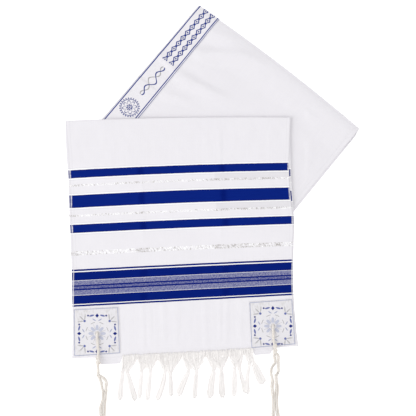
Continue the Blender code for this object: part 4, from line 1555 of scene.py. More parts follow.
    def build(self, shop: Workshop) -> None:
        """Makes both layers and the stitches of their hems.

        Args:
            shop: Where they are placed.
        """
        upper = shop.place("front_cloth", self.upper(), Finish.STRIPED, "front_cloth", "front_panel")
        lower = shop.place("under_cloth", self.lower(), Finish.UNDER_STRIPED, "under_cloth",
                           "front_under_panel")
        skein = Skein()
        skein.sew(self.seam(self.upper_seam), self.stitch, FORWARD)
        for span in self.low_hem_spans:
            for inset in self.lower_seams:
                skein.sew(self.low_seam(span, inset), self.stitch, FORWARD)
        stitches = shop.place("hem_stitches", skein, Finish.THREAD, "front_cloth")


@dataclass
class HiddenLayers:
    """The two layers between the front and back stretches, which show only at their edges."""

    stack: Stack
    front: FrontStretch
    wall: float = 0.0009
    columns: int = 70
    rows: int = 44
    setback: float = 0.0015
    top_setback: float = 0.0076
    step: float = 0.0009
    foot_gap: float = 0.0006
    lengths: Point = (0.457, 0.14)

    def sheet(self, level: int) -> Sheet:
        """One layer, set in a little from the one below it.

        u runs to the right, and v from the slanting hidden fold up to the top fold.

        Args:
            level: 0 for the lower layer and 1 for the upper one.

        Returns:
            Its sheet.
        """
        start, end = self.stack.neck_end, self.stack.far_end
        slope = (end[1] - start[1]) / (end[0] - start[0])
        u, v = np.meshgrid(np.linspace(0.0, 1.0, self.columns), np.linspace(0.0, 1.0, self.rows))
        foot_x, _ = self.front.plan(u, np.full_like(u, self.front.sections[-2].along))
        top_x, top_y = self.front.plan(u, np.full_like(u, self.front.sections[-1].along))
        inset = self.step * level
        foot_y = start[1] + slope * (foot_x - start[0]) + self.foot_gap + inset
        x = mixed(foot_x, top_x, v) + (self.setback + inset) * (1 - 2 * u)
        y = mixed(foot_y, top_y - self.top_setback - inset, v)
        rise = self.stack.stack_gap + self.stack.core * (0.24 + 0.52 * level)
        z = self.stack.back_support(x, y) + rise + rippled(x, y, 0.00004, 0.03, 40 + level)
        return Sheet(joined(x, y, z), joined(u * self.lengths[0], v * self.lengths[1]), self.wall)

    def build(self, shop: Workshop) -> None:
        """Makes both layers as one piece.

        Args:
            shop: Where it is placed.
        """
        lower, upper = self.sheet(0).arrays(), self.sheet(1).arrays()
        points = np.concatenate([lower[0], upper[0]])
        quads = np.concatenate([lower[1], upper[1] + len(lower[0])])
        mesh = mesh_of("hidden_cloth", points, quads, np.concatenate([lower[2], upper[2]]))
        piece = shop.place("hidden_cloth", mesh, Finish.CLOTH, "hidden_cloth", "folded_core")


@dataclass
class BackStretch:
    """The middle of the shawl, folded double, with the collar band along its neck edge.

    covered is the y above which the front stretch leaves it bare, and beside the x to the
    right of which it does. The swell rises from the middle fold and falls away from it.
    """

    stack: Stack
    covered: float = 0.2525
    beside: float = 0.185
    width: float = 0.411
    reach: float = 0.379
    bow: float = 0.0057
    inner_bend: float = 0.0012
    loft: float = 0.0014
    loft_settle: Settle = Settle(0.0, 0.032)
    swell: float = 0.0038
    swell_rise: float = 0.022
    swell_fall: float = 0.05
    peek: float = 0.0037
    wall: float = 0.0008
    hem: float = 0.01
    groove: Point = (0.00045, 0.0016)
    columns: int = 168
    rows: int = 150
    under_rows: int = 34
    hem_step: float = 0.0012
    hem_rise: float = 0.0004
    hem_seam: Point = (0.0012, 0.0001)
    seam_inset: float = 0.0008
    band_gap: float = 0.00018
    band_wall: float = 0.0009
    band_start: float = 0.0015
    band_edge: Point = (0.0506, 0.0215)
    band_reach: float = 0.34
    band_columns: int = 40
    band_rows: int = 200
    ridges: tuple[Crease, ...] = (
        Crease((-0.01, 0.428), (0.07, 0.41), 0.002, 0.012, 0.013),
        Crease((-0.044, 0.39), (0.116, 0.376), 0.0054, 0.011, 0.02),
        Crease((-0.076, 0.346), (0.072, 0.27), 0.0043, 0.011, 0.016),
        Crease((-0.104, 0.304), (-0.014, 0.276), 0.00302, 0.012, 0.012),
    )
    wrinkles: tuple[Crease, ...] = (
        Crease((-0.062, 0.372), (0.06, 0.33), 0.0009, 0.007, 0.012),
        Crease((-0.03, 0.352), (0.09, 0.282), 0.0006, 0.011, 0.01),
        Crease((0.03, 0.4), (0.13, 0.35), 0.0008, 0.012, 0.008),
        Crease((0.15, 0.285), (0.23, 0.245), 0.00101, 0.008, 0.012),
        Crease((0.19, 0.262), (0.25, 0.292), 0.00068, 0.004, 0.005),
        Crease((0.17, 0.27), (0.225, 0.302), 0.00068, 0.004, 0.006),
        Crease((0.16, 0.12), (0.205, 0.23), 0.00135, 0.012, 0.018),
    )
    band_creases: tuple[Crease, ...] = (
        Crease((-0.115, 0.388), (-0.068, 0.342), 0.002, 0.0095, 0.006),
        Crease((-0.156, 0.342), (-0.108, 0.302), 0.0019, 0.0032, 0.022),
        Crease((-0.085, 0.44), (-0.03, 0.388), 0.00144, 0.01, 0.014),
    )

    def plan(self, across: Array, along: Array, peek: float = 0.0) -> tuple[Array, Array]:
        """Where a point lies.

        Args:
            across: Distance from the neck edge.
            along: Distance from the middle fold.
            peek: How far the lower layer shows past the far edge.

        Returns:
            x and y.
        """
        t = across / self.width
        fold, end = self._ends(t)
        share = along / np.hypot(end[0] - fold[0], end[1] - fold[1])
        way = unit(np.subtract(self.stack.far_corner, self.stack.neck_corner))
        bow = self.bow * 4 * t * (1 - t) * np.maximum(1 - share, 0.0) ** 2
        side = peek * smooth(along / 0.02) * smooth((t - 0.93) / 0.07)
        x = mixed(fold[0], end[0], share) - way[1] * bow + way[0] * side
        y = mixed(fold[1], end[1], share) + way[0] * bow + way[1] * side
        return x, y

    def _ends(self, t: Array) -> tuple[list[Array], ...]:
        """The x and y at the middle fold, and at the hidden fold, at a share of the way across."""
        lines = ((self.stack.neck_corner, self.stack.far_corner), (self.stack.neck_end, self.stack.far_end))
        return tuple([mixed(a, b, t) for a, b in zip(neck, far)] for neck, far in lines)

    def run(self, across: Array) -> Array:
        """How long the stretch is at a distance across."""
        fold, end = self._ends(across / self.width)
        return np.hypot(end[0] - fold[0], end[1] - fold[1])

    def upper_points(self, across: Array, along: Array, lift: float) -> Array:
        """Points of the upper layer at a height over its inner face.

        Their height is the loft and a swell behind the middle fold, plus the ridges, wrinkles
        and waves, less the groove of the hem's seam. The swell is an upturned parabola up to
        its rise, and then an S curve down. The ridges and creases die away towards the fold
        and under the front stretch.

        Args:
            across: Distance from the neck edge.
            along: Distance from the middle fold.
            lift: The height over the layer's inner face.

        Returns:
            The points.
        """
        x, y = self.plan(across, along + self.inner_bend + self.stack.wall)
        swell = 1.0 - (1.0 - np.clip(along / self.swell_rise, 0.0, 1.0)) ** 2
        swell = swell * (1.0 - smooth((along - self.swell_rise) / self.swell_fall))
        loft = self.loft * self.loft_settle.share(along) + self.swell * swell
        above = y - self.covered
        clear = smooth((above - 0.01) / 0.03)
        bare = np.maximum(clear, smooth((x - self.beside) / 0.012))
        ridges = creased(x, y, self.ridges) * smooth((above - 0.014) / 0.04)
        small = creased(x, y, self.wrinkles, 0.08, 0.2, 0.4) + rippled(x, y, 0.00016, 0.045, 12)
        band = creased(x, y, self.band_creases, 0.02, 0.06, 0.35) * clear
        seam = self.groove[0] * np.exp(-(((across - self.width + self.hem) / self.groove[1]) ** 2))
        rise = loft + (ridges + small * bare + band - seam) * smooth(along / 0.026)
        return joined(x, y, self.stack.wall + self.stack.sheet_gap + np.maximum(rise, 0.0) + lift)

    def bend_points(self, across: Array, angle: Array, lift: float) -> Array:
        """Points round the middle fold: a half circle about the fold's inner bend.

        Args:
            across: Distance from the neck edge.
            angle: The way round, pi at the upper layer and 0 at the lower one.
            lift: The height over the layer's inner face.

        Returns:
            The points.
        """
        inset = self.inner_bend + self.stack.wall
        x, y = self.plan(across, 0.0 * across)
        inner_x, inner_y = self.plan(across, 0.0 * across + 0.014)
        way = unit(joined(x - inner_x, y - inner_y))
        radius = self.inner_bend + lift
        reach = radius * np.sin(angle) - inset
        z = self.stack.wall + self.inner_bend - radius * np.cos(angle)
        return joined(x + way[..., 0] * reach, y + way[..., 1] * reach, z)

    def sheet(self) -> Sheet:
        """Both layers of the stretch, as one sheet folded at the shawl's middle.

        Returns:
            A sheet of three parts: the upper layer, the half circle of the fold, and the lower.
        """
        line = np.linspace(0.0, self.width, self.columns)
        inset = self.inner_bend + self.stack.wall
        run = self.run(line)[None] - inset
        lift = self.stack.wall / 2
        upper_share = np.concatenate([np.linspace(1.0, 0.12, self.rows), np.linspace(0.12, 0.0, 34)[1:]])
        across, share = np.meshgrid(line, upper_share)
        along = share * run
        across_bend, angle = np.meshgrid(line, np.linspace(math.pi, 0.0, 14)[1:-1])
        across_low, low_share = np.meshgrid(line, np.linspace(0.0, 1.0, self.under_rows))
        low_along = low_share * run
        x, y = self.plan(across_low, low_along + inset, self.peek)
        parts = [self.upper_points(across, along, lift), self.bend_points(across_bend, angle, lift),
                 joined(x, y, lift)]
        radius = self.inner_bend + lift
        v = np.concatenate([along, -radius * (math.pi - angle), -radius * math.pi - low_along])
        uv = joined(line, v)
        wall = self.wall + self.hem_rise * smooth((uv[..., 0] - self.width + self.hem) / self.hem_step)
        return Sheet(np.concatenate(parts), uv, wall)

    def band(self) -> Sheet:
        """The collar band, laid on the upper layer's own points and half round the fold.

        Returns:
            Its sheet, whose far edge slants away from the neck edge.
        """
        share = np.linspace(0.0, 1.0, self.band_columns)
        along = np.linspace(self.band_reach, 0.0, self.band_rows)[:, None]
        end = self.band_edge[0] + self.band_edge[1] * along
        across = self.band_start + (end - self.band_start) * share
        lift = self.wall + self.band_wall / 2 + self.band_gap
        upper = self.upper_points(across, along + 0.0 * across, lift)
        across_bend, angle = np.meshgrid(across[-1], np.linspace(math.pi, math.pi / 2, 8)[1:])
        bend = self.bend_points(across_bend, angle, lift)
        v = np.concatenate([along + 0.0 * across, -(self.inner_bend + lift) * (math.pi - angle)])
        uv = joined(np.concatenate([across, across_bend]), v)
        return Sheet(np.concatenate([upper, bend]), uv, self.band_wall)

    def _stitches(self) -> Skein:
        """Stitches along both edges of the band and along the far hem.

        Returns:
            All of them in one skein.
        """
        along, hem_along = np.linspace(0.003, 0.335, 300), np.linspace(0.004, 0.236, 220)
        top = self.wall + self.band_wall + self.band_gap
        hem_top = self.stack.wall / 2 + self.wall / 2 + self.hem_seam[1]
        near = np.full_like(along, self.band_start + self.seam_inset)
        far = self.band_edge[0] + self.band_edge[1] * along - self.seam_inset
        hem = np.full_like(hem_along, self.width - self.hem + self.hem_seam[0])
        skein = Skein()
        for across, way, lift in ((near, along, top), (far, along, top), (hem, hem_along, hem_top)):
            skein.sew(self.upper_points(across, way, lift), Stitch(), np.array((0.7, -0.7, 0.0)))
        return skein

    def build(self, shop: Workshop) -> None:
        """Makes the stretch, its band and their stitches.

        Args:
            shop: Where they are placed.
        """
        cloth = shop.place("back_cloth", self.sheet(), Finish.CLOTH, "back_cloth", "back_panel")
        band = shop.place("collar_ribbon", self.band(), Finish.COLLAR, "collar_band", "collar_band")
        stitches = shop.place("back_stitches", self._stitches(), Finish.THREAD, "back_cloth")


@dataclass
class CornerPatch:
    """A satin patch sewn on a corner, with an overcast eyelet for its tassel."""

    name: str
    node: str
    corners: tuple[Point, Point, Point, Point]
    eyelet: Point
    base: float = 0.0025
    wall: float = 0.0009
    crown: float = 0.0004
    corner_radius: float = 0.0026
    eyelet_radius: float = 0.004
    side_steps: int = 30
    corner_steps: int = 6
    rows: int = 34
    eyelet_stitches: int = 26
    seam_inset: float = 0.003
    seam_press: float = 0.00016
    stitch: Stitch = Stitch(gap=0.0009)

    def outline(self, inset: float = 0.0) -> Array:
        """Points round the patch, anticlockwise: straight sides, and a parabola at each corner.

        Args:
            inset: How far inside the patch's edge they are.

        Returns:
            The points, without their height.
        """
        corners = np.array(self.corners[::-1], float)
        corners += unit(corners.mean(0) - corners) * inset * math.sqrt(2)
        before = corners + unit(np.roll(corners, 1, axis=0) - corners) * self.corner_radius
        after = corners + unit(np.roll(corners, -1, axis=0) - corners) * self.corner_radius
        t = np.linspace(0.0, 1.0, self.corner_steps)[None, :, None]
        arcs = (1 - t) ** 2 * before[:, None] + 2 * t * (1 - t) * corners[:, None] + t * t * after[:, None]
        t = np.linspace(0.0, 1.0, self.side_steps)[None, 1:-1, None]
        sides = mixed(after[:, None], np.roll(before, -1, axis=0)[:, None], t)
        return np.concatenate([arcs, sides], 1).reshape(-1, 2)

    def edge_distance(self, x: Array, y: Array) -> Array:
        """Distance from the nearest of the patch's four sides."""
        ends = zip(self.corners, self.corners[1:] + self.corners[:1])
        return np.minimum.reduce([beyond(x, y, start, end) for start, end in ends])

    def height(self, x: Array, y: Array) -> Array:
        """Height of the patch's middle: crowned, and drawn down by its seam and its eyelet.

        Args:
            x: Where it is read.
            y: Where it is read.

        Returns:
            The height over the table.
        """
        edge = self.edge_distance(x, y)
        swell = self.crown * smooth(edge / 0.012)
        swell = swell - self.seam_press * np.exp(-(((edge - 0.0028) / 0.001) ** 2))
        away = np.hypot(x - self.eyelet[0], y - self.eyelet[1])
        pull = 0.0004 * np.exp(-(((away - self.eyelet_radius) / 0.006) ** 2))
        return self.base + self.wall / 2 + swell - pull + rippled(x, y, 0.00006, 0.03, 55)

    def build(self, shop: Workshop) -> None:
        """Makes the patch, its eyelet and its stitches.

        Args:
            shop: Where they are placed.
        """
        outline = self.outline() - self.eyelet
        angle = np.arctan2(outline[:, 1], outline[:, 0])
        hole = joined(np.cos(angle), np.sin(angle)) * self.eyelet_radius
        share = denser(0.12, 9, self.rows)[:, None, None]
        flat = mixed(outline[None], hole[None], share)
        x, y = flat[..., 0] + self.eyelet[0], flat[..., 1] + self.eyelet[1]
        middle = joined(x, y, self.height(x, y))
        patch = shop.place(self.name, Sheet(middle, flat, self.wall, ring=True), Finish.PATCH,
                           "corner_patch", self.node)
        self._mark_edge(patch.data)
        stitches = shop.place(self.name + "_stitches", self._stitches(), Finish.THREAD, "corner_patch")

    def _mark_edge(self, mesh: bpy.types.Mesh) -> None:
        """Keeps each point's distance from the patch's outline as the attribute edge.

        Args:
            mesh: The patch's mesh.
        """
        points = np.zeros(len(mesh.vertices) * 3, np.float32)
        mesh.vertices.foreach_get("co", points)
        edge = self.edge_distance(*points.reshape(-1, 3).astype(float).T[:2])
        attribute = mesh.attributes.new("edge", "FLOAT", "POINT")
        attribute.data.foreach_set("value", edge.astype(np.float32))

    def _stitches(self) -> Skein:
        """Stitches inside the outline, and overcast ones that go round the eyelet's rim.

        An overcast stitch is part of a circle that stands upright across the rim.

        Returns:
            All of them in one skein.
        """
        skein = Skein()
        ring = self.outline(self.seam_inset)
        ring = np.concatenate([ring, ring[:1]])
        top = self.height(ring[:, 0], ring[:, 1]) + self.wall / 2
        skein.sew(np.column_stack([ring, top]), self.stitch, ABOVE)
        turn = 2 * math.pi * np.arange(self.eyelet_stitches)[:, None] / self.eyelet_stitches
        share = np.linspace(-0.35, 1.35, 10)[None] * math.pi
        out = self.eyelet_radius + 0.0002 + 0.0011 * np.cos(share)
        height = self.base + self.wall * 0.45 + 0.00075 * np.sin(share)
        x, y = self.eyelet[0] + out * np.cos(turn), self.eyelet[1] + out * np.sin(turn)
        tangents = joined(-np.sin(turn[:, 0]), np.cos(turn[:, 0]), 0.0)
        for path, aside in zip(joined(x, y, height), tangents):
            skein.add(path[None], 0.00042, 6, 0.35, aside)
        return skein


class Tassel(NamedTuple):
    """A fringe tassel: its knot, its tip and how wide its tip spreads."""

    knot: Point
    tip: Point
    width: float


class Layer(Enum):
    """The layer that a fringe hangs from: its rise over the lower one, its top over the strip."""

    FRONT = (0.0014, 0.0012)
    UNDER = (0.0, 0.001)


@dataclass
class Fringe:
    """Threads that hang from a hem, gathered into knots, with a skirt below each knot."""

    layer: Layer
    front: FrontStretch
    tassels: tuple[Tassel, ...]
    notches: tuple[float, ...] = (-0.1835, -0.1534, -0.1116, -0.0632, -0.0133, 0.0337, 0.0632, 0.081)
    strip: float = 0.014
    thread: float = 0.0005
    thread_gap: float = 0.00085
    rings: int = 14
    skirt_thread: float = 0.00062
    skirt_threads: int = 38
    skirt_rings: int = 17
    skirt_full: float = 0.94
    skirt_widths: Curve = ((0.0, 0.1, 0.35, 0.75, 0.93, 1.0), (0.54, 0.7, 0.88, 1.02, 1.05, 0.9))
    skirt_heights: Curve = ((0.0, 0.3, 1.0), (0.0027, 0.0023, 0.0018))
    skirt_start: float = 0.0012
    weft_drops: tuple[float, ...] = (0.0006, 0.0017, 0.003, 0.0048, 0.0072)
    knot_size: Size = (0.0082, 0.0098, 0.004)

    def hem(self, x: Array) -> tuple[Array, float, float]:
        """The cloth's edge.

        Args:
            x: Where it is read.

        Returns:
            Its y at each x, the height of its middle, and how far its top is over the strip.
        """
        hem = self.front.sections[0]
        u = (x - hem.left[0]) / (hem.right[0] - hem.left[0])
        rise, top = self.layer.value
        return self.front.plan(u, np.zeros_like(u))[1], self.front.stack.wall / 2 + rise, top

    def fan(self, tassel: Tassel, first: float, last: float, skein: Skein) -> None:
        """Threads that come out of the cloth, hang over the strip and close in on the knot.

        A thread's x goes from its root to its place in the knot by its share of the way below
        the strip, raised to a power of its own.

        Args:
            tassel: The tassel.
            first: The strip's left end.
            last: Its right end.
            skein: Where the threads are added.
        """
        rng = skein.rng
        count = int((last - first) / self.thread_gap)
        share = (np.arange(count) + 0.5) / count
        root_x = mixed(first, last, share) + rng.normal(0.0, 0.0003, count)
        hem_y, hem_z, top = self.hem(root_x)
        root_y = hem_y + rng.uniform(0.0004, 0.0046, count)
        way = np.linspace(0.0, 1.0, self.rings)[None]
        knot_x = tassel.knot[0] + (share - 0.5) * self.knot_size[0] * 0.62
        knot_y = tassel.knot[1] + self.knot_size[1] * 0.22
        held = self.strip / (root_y - knot_y)[:, None] * rng.uniform(0.55, 0.8, (count, 1))
        close = np.clip((way - held) / np.maximum(1.0 - held, 0.25), 0.0, 1.0)
        close = close ** rng.uniform(1.15, 1.5, (count, 1))
        x = mixed(root_x[:, None], knot_x[:, None], close)
        stray = rng.normal(0.0, 0.0007, (count, 1))
        x = x + stray * np.sin(way * math.pi * rng.uniform(1.0, 2.4, (count, 1)))
        y = mixed(root_y[:, None], knot_y, way)
        level = rng.uniform(-0.0003, 0.00055, (count, 1))
        middle = self.front.stack.over_table + self.knot_size[2] / 2
        over_hem = (top + 0.0006) * (1.0 - smooth((hem_y[:, None] + 0.0004 - y) / 0.002))
        z = mixed(hem_z, middle, smooth((way - 0.45) / 0.55)) + level + over_hem
        z = np.maximum(z, self.thread + self.front.stack.over_table)
        skein.add(joined(x, y, z), self.thread, 4, rng.uniform(0.2, 0.9, count))
        self._swags(tassel, (first, last), skein)

    def _swags(self, tassel: Tassel, ends: Point, skein: Skein) -> None:
        """Twisted yarns, two from each side, that droop below the fan and run into the knot.

        Args:
            tassel: The tassel.
            ends: The strip's left and right ends.
            skein: Where the yarns are added.
        """
        rng = skein.rng
        for side in (-1, 1, -1, 1):
            edge = ends[0] if side < 0 else ends[1]
            edge = mixed(edge, tassel.knot[0], rng.uniform(0.0, 0.35))
            hem_y, hem_z, top = self.hem(np.array([edge]))
            low = float(mixed(hem_y[0], tassel.knot[1], 0.5)) - rng.uniform(0.0005, 0.003)
            lie = self.front.stack.over_table + 0.003
            route = [(edge, hem_y[0] + 0.001, hem_z + top + 0.0008),
                     (mixed(edge, tassel.knot[0], 0.25), mixed(hem_y[0], low, 0.75), lie - 0.0004),
                     (mixed(edge, tassel.knot[0], 0.75), low - 0.0015, lie),
                     (tassel.knot[0] + side * 0.001, tassel.knot[1] + 0.002, lie)]
            yarns = plied(smooth_path(route, 0.0013), 2, 0.00042, 0.0048, rng.uniform(0, 6), ABOVE)
            skein.add(yarns, 0.00045, 4, rng.uniform(0.3, 0.9, 2), ABOVE)

    def skirt(self, tassel: Tassel, skein: Skein) -> None:
        """Threads below the knot, spread evenly across a flat oval.

        The skirt's width and height follow smooth curves from the knot to the tip, and each
        thread strays from its even place by a sine wave of its own.

        Args:
            tassel: The tassel.
            skein: Where the threads are added.
        """
        rng, count = skein.rng, self.skirt_threads
        across = (np.arange(count)[:, None] + 0.5) / count - 0.5
        up = rng.uniform(-0.5, 0.5, (count, 1)) * np.sqrt(1.0 - (1.9 * across) ** 2)
        way = np.linspace(0.0, 1.0, self.skirt_rings)[None]
        knot, tip = np.array(tassel.knot), np.array(tassel.tip)
        run = tip - knot
        length = float(np.hypot(*run))
        side = np.array((-run[1], run[0])) / length
        width = tassel.width * self.skirt_full * through(*self.skirt_widths, way)
        high = through(*self.skirt_heights, way)
        reach = 1.0 + rng.normal(0.0, 0.015, (count, 1)) - 0.1 * (np.abs(across) * 2) ** 2
        bend = rng.normal(0.0, 0.0014) * np.sin(way * math.pi)
        stray = rng.normal(0.0, 0.0006, (count, 1))
        stray = stray * np.sin(way * math.pi * rng.uniform(0.8, 2.2, (count, 1)))
        off = across * width + bend + stray * way
        x = knot[0] + run[0] * way * reach + side[0] * off
        y = knot[1] - self.skirt_start + (run[1] + self.skirt_start) * way * reach + side[1] * off
        z = self.front.stack.over_table + self.skirt_thread + (up + 0.5) * high
        taper = self.skirt_thread * mixed(1.0, 0.6, smooth((way - 0.95) / 0.05))
        # a random tone for each thread, less painted shade towards the skirt's sides
        tone = rng.uniform(0.25, 0.85, count) - 0.45 * (2 * across[:, 0]) ** 2
        skein.add(joined(x, y, z), taper, 4, tone)

    def build(self, shop: Workshop, name: str, node: str, seed: int) -> None:
        """Makes the whole fringe of one layer.

        Args:
            shop: Where it is placed.
            name: The piece's name.
            node: The solid that it replaces.
            seed: The seed of its random numbers.
        """
        skein = Skein(seed)
        rng = skein.rng
        for tassel, first, last in zip(self.tassels, self.notches, self.notches[1:]):
            self.fan(tassel, first, last, skein)
            self.skirt(tassel, skein)
            centre = (*tassel.knot, self.front.stack.over_table + self.knot_size[2] / 2 + 0.0002)
            path = knot_path(centre, self.knot_size, 0.0028, rng.uniform(-0.5, 0.5), 36)
            plies = plied(path, 3, 0.0008, 0.006, rng.uniform(0, 6), ABOVE)
            skein.add(plies, 0.00078, 6, rng.uniform(-0.1, 0.3, 3), ABOVE)
        self._weft(skein)
        shop.place(name, skein, Finish.FRINGE, "fringe_yarn", node)

    def _weft(self, skein: Skein) -> None:
        """A few loose weft yarns that run across the strip just below the cloth's edge.

        Args:
            skein: Where they are added.
        """
        x = np.linspace(self.notches[0] + 0.002, self.notches[-1] - 0.002, 150)
        y, z, _ = self.hem(x)
        for drop in self.weft_drops:
            line = y - drop + rippled(x, 0.0 * x, 0.00035, 0.03, int(drop * 1e5))
            weave = 0.00035 * np.sin(x * 2 * math.pi / (self.thread_gap * 8))
            paths = joined(x, line, z + weave + 0.0001)[None]
            skein.add(paths, self.thread * 0.8, 4, skein.rng.uniform(0.3, 0.7), FORWARD)


class Leg(NamedTuple):
    """A cord below the lower knot, its own knot, and the way that its loose strands take."""

    route: tuple[Point, ...]
    knot: Point
    tail: tuple[Point, ...]


@dataclass
class CornerTassel:
    """A corner tassel: a cord from the eyelet, its knots, and eight loose strands."""

    name: str
    node: str
    cord: tuple[Point, ...]
    hem_knot: Point
    mid_knot: Point
    legs: tuple[Leg, ...]
    patch_top: float = 0.004
    over_table: float = 0.00015
    ply: float = 0.00148
    ply_reach: float = 0.00168
    cord_pitch: float = 0.0175
    leg_pitch: float = 0.0125
    spacing: float = 0.0007
    strand_ply: float = 0.00068
    strand_reach: float = 0.00056
    strand_pitch: float = 0.0062
    hem_knot_size: Size = (0.0095, 0.019, 0.007)
    mid_knot_size: Size = (0.0078, 0.009, 0.0062)
    leg_knot_size: Size = (0.0064, 0.008, 0.0056)
    strand_gap: float = 0.0017
    tail_points: int = 240

    def _cord(self, path: Array, plies: int, pitch: float, skein: Skein) -> None:
        """Winds plies round a path, each of them two twisted yarns.

        Args:
            path: The cord's middle line.
            plies: How many plies it has.
            pitch: The length of one of their turns.
            skein: Where they are added.
        """
        rng = skein.rng
        for ply in plied(path, plies, self.ply_reach, pitch, rng.uniform(0, 6)):
            yarns = plied(ply, 2, self.ply * 0.48, 0.0052, rng.uniform(0, 6))
            skein.add(yarns, self.ply * 0.56, 6, rng.uniform(0.2, 0.8, 2))

    def _knot(self, centre: Any, size: Size, heading: float, skein: Skein, rings: int = 90) -> None:
        """An overhand knot of a three-ply cord.

        Args:
            centre: Its middle.
            size: Its width, length and height.
            heading: The angle that its length is turned by.
            skein: Where it is added.
            rings: How many points its path has.
        """
        rng = skein.rng
        yarn = 0.34 * size[0]
        path = knot_path(centre, size, yarn, heading, rings)
        plies = plied(path, 3, yarn * 0.26, 0.011, rng.uniform(0, 6), ABOVE)
        skein.add(plies, yarn * 0.27, 8, rng.uniform(0.25, 0.7, 3), ABOVE)

    def strands(self, leg: Leg, skein: Skein) -> None:
        """Four loose strands that leave the leg together and lie side by side.

        A strand stands beside the tail's middle line by its own offset, which grows along it,
        and wanders by two sine waves of seeded lengths.

        Args:
            leg: The leg that they end.
            skein: Where they are added.
        """
        rng = skein.rng
        tail = np.array(leg.tail)
        knots = lengths_along(tail)
        line = through(knots, tail, np.linspace(0.0, knots[-1], self.tail_points))
        way = np.linspace(0.0, 1.0, self.tail_points)
        low = self.over_table + self.strand_ply + self.strand_reach
        end = mixed(1.0, 0.5, smooth((way - 0.992) / 0.008))
        for number in range(4):
            side = (number - 1.5) * self.strand_gap * (1.0 + 0.25 * way)
            wander = 0.0
            for size, waves in ((0.0006, rng.uniform(1.5, 2.6)), (0.0003, rng.uniform(4.0, 7.0))):
                wander = wander + size * np.sin(way * waves * 2 * math.pi + rng.uniform(0, 6))
            x = line[:, 0] + side * smooth(way / 0.05) + wander * smooth(way / 0.12)
            y = line[:, 1] + 0.00336 * number * smooth((way - 0.6) / 0.4)
            z = low + (number % 2) * 0.0017 + 0.0012 * (1 - smooth(way / 0.04))
            path = joined(x, y, z + 0.0002 * np.sin(way * 40 + number))
            yarns = plied(path, 2, self.strand_reach, self.strand_pitch, rng.uniform(0, 6))
            skein.add(yarns, self.strand_ply * end, 6, rng.uniform(0.2, 0.85, 2))

    def build(self, shop: Workshop, seed: int) -> None:
        """Makes the whole corner tassel.

        Args:
            shop: Where it is placed.
            seed: The seed of its random numbers.
        """
        skein = Skein(seed)
        on_patch = self.patch_top + 0.0021
        hem = (*self.hem_knot, self.patch_top + 0.0003 + self.hem_knot_size[2] / 2)
        mid = (*self.mid_knot, max(self.over_table + self.mid_knot_size[2] / 2, hem[2] * 0.62))
        start = (self.cord[0][0] + 0.0002, self.cord[0][1] + 0.0024)
        points = [(*start, 0.0021), (start[0], start[1] - 0.001, 0.0046)]
        points += [(x, y, on_patch) for x, y in self.cord[1:]] + [hem, mid]
        self._cord(smooth_path(points, self.spacing), 4, self.cord_pitch, skein)
        upper = (hem[0], hem[1] + 0.0042, hem[2] - 0.0003)
        lower = (hem[0], hem[1] - 0.0044, hem[2] - 0.0008)
        half = (self.hem_knot_size[0], self.hem_knot_size[1] * 0.58, self.hem_knot_size[2] * 0.92)
        self._knot(upper, half, 0.25, skein)
        self._knot(lower, half, -0.35, skein)
        self._knot(mid, self.mid_knot_size, 0.4, skein)
        leg_height = self.over_table + self.ply_reach + self.ply
        for leg in self.legs:
            route = [mid]
            for number, (x, y) in enumerate(leg.route, 1):
                route.append((x, y, max(leg_height, mid[2] * (1 - 0.35 * number))))
            route.append((*leg.tail[1], leg_height))
            self._cord(smooth_path(route, self.spacing), 4, self.leg_pitch, skein)
            self._knot((*leg.knot, self.over_table + self.leg_knot_size[2] / 2), self.leg_knot_size,
                       skein.rng.uniform(-0.5, 0.5), skein, 72)
            self.strands(leg, skein)
        shop.place(self.name, skein, Finish.TASSEL, "tzitzit_yarn", self.node)


UNDER_TASSELS = (
    Tassel((-0.183, -0.2632), (-0.1895, -0.3211), 0.0102),
    Tassel((-0.1444, -0.2611), (-0.1489, -0.3168), 0.0086),
    Tassel((-0.0969, -0.2621), (-0.1132, -0.3211), 0.0112),
    Tassel((-0.049, -0.2611), (-0.0694, -0.3117), 0.013),
    Tassel((0.0024, -0.2611), (-0.0059, -0.3162), 0.0142),
    Tassel((0.0451, -0.255), (0.0433, -0.3135), 0.01),
    Tassel((0.0757, -0.2468), (0.0715, -0.308), 0.0078),
)
FRONT_TASSELS = (
    Tassel((-0.1734, -0.2632), (-0.158, -0.3219), 0.0116),
    Tassel((-0.1267, -0.2611), (-0.1324, -0.3211), 0.0094),
    Tassel((-0.0861, -0.2672), (-0.0847, -0.3121), 0.01),
    Tassel((-0.033, -0.2621), (-0.037, -0.3168), 0.0104),
    Tassel((0.018, -0.2591), (0.0205, -0.3154), 0.0126),
    Tassel((0.0551, -0.257), (0.0672, -0.306), 0.0086),
    Tassel((0.0847, -0.2458), (0.103, -0.287), 0.0172),
)
EYELETS = {"left": (-0.235, -0.1842), "right": (0.1228, -0.169)}


def corner_patches() -> tuple[CornerPatch, ...]:
    """The two patches that show, each with its corners clockwise from the upper left.

    Returns:
        The patches, the left one first.
    """
    corners = {
        "left": ((-0.2834, -0.1345), (-0.1915, -0.1298), (-0.1876, -0.225), (-0.2822, -0.2315)),
        "right": ((0.0742, -0.12), (0.1631, -0.1134), (0.1696, -0.2067), (0.0786, -0.2148)),
    }
    return tuple(CornerPatch(f"patch_{side}", f"corner_patch_{side}", corners[side], EYELETS[side])
                 for side in corners)


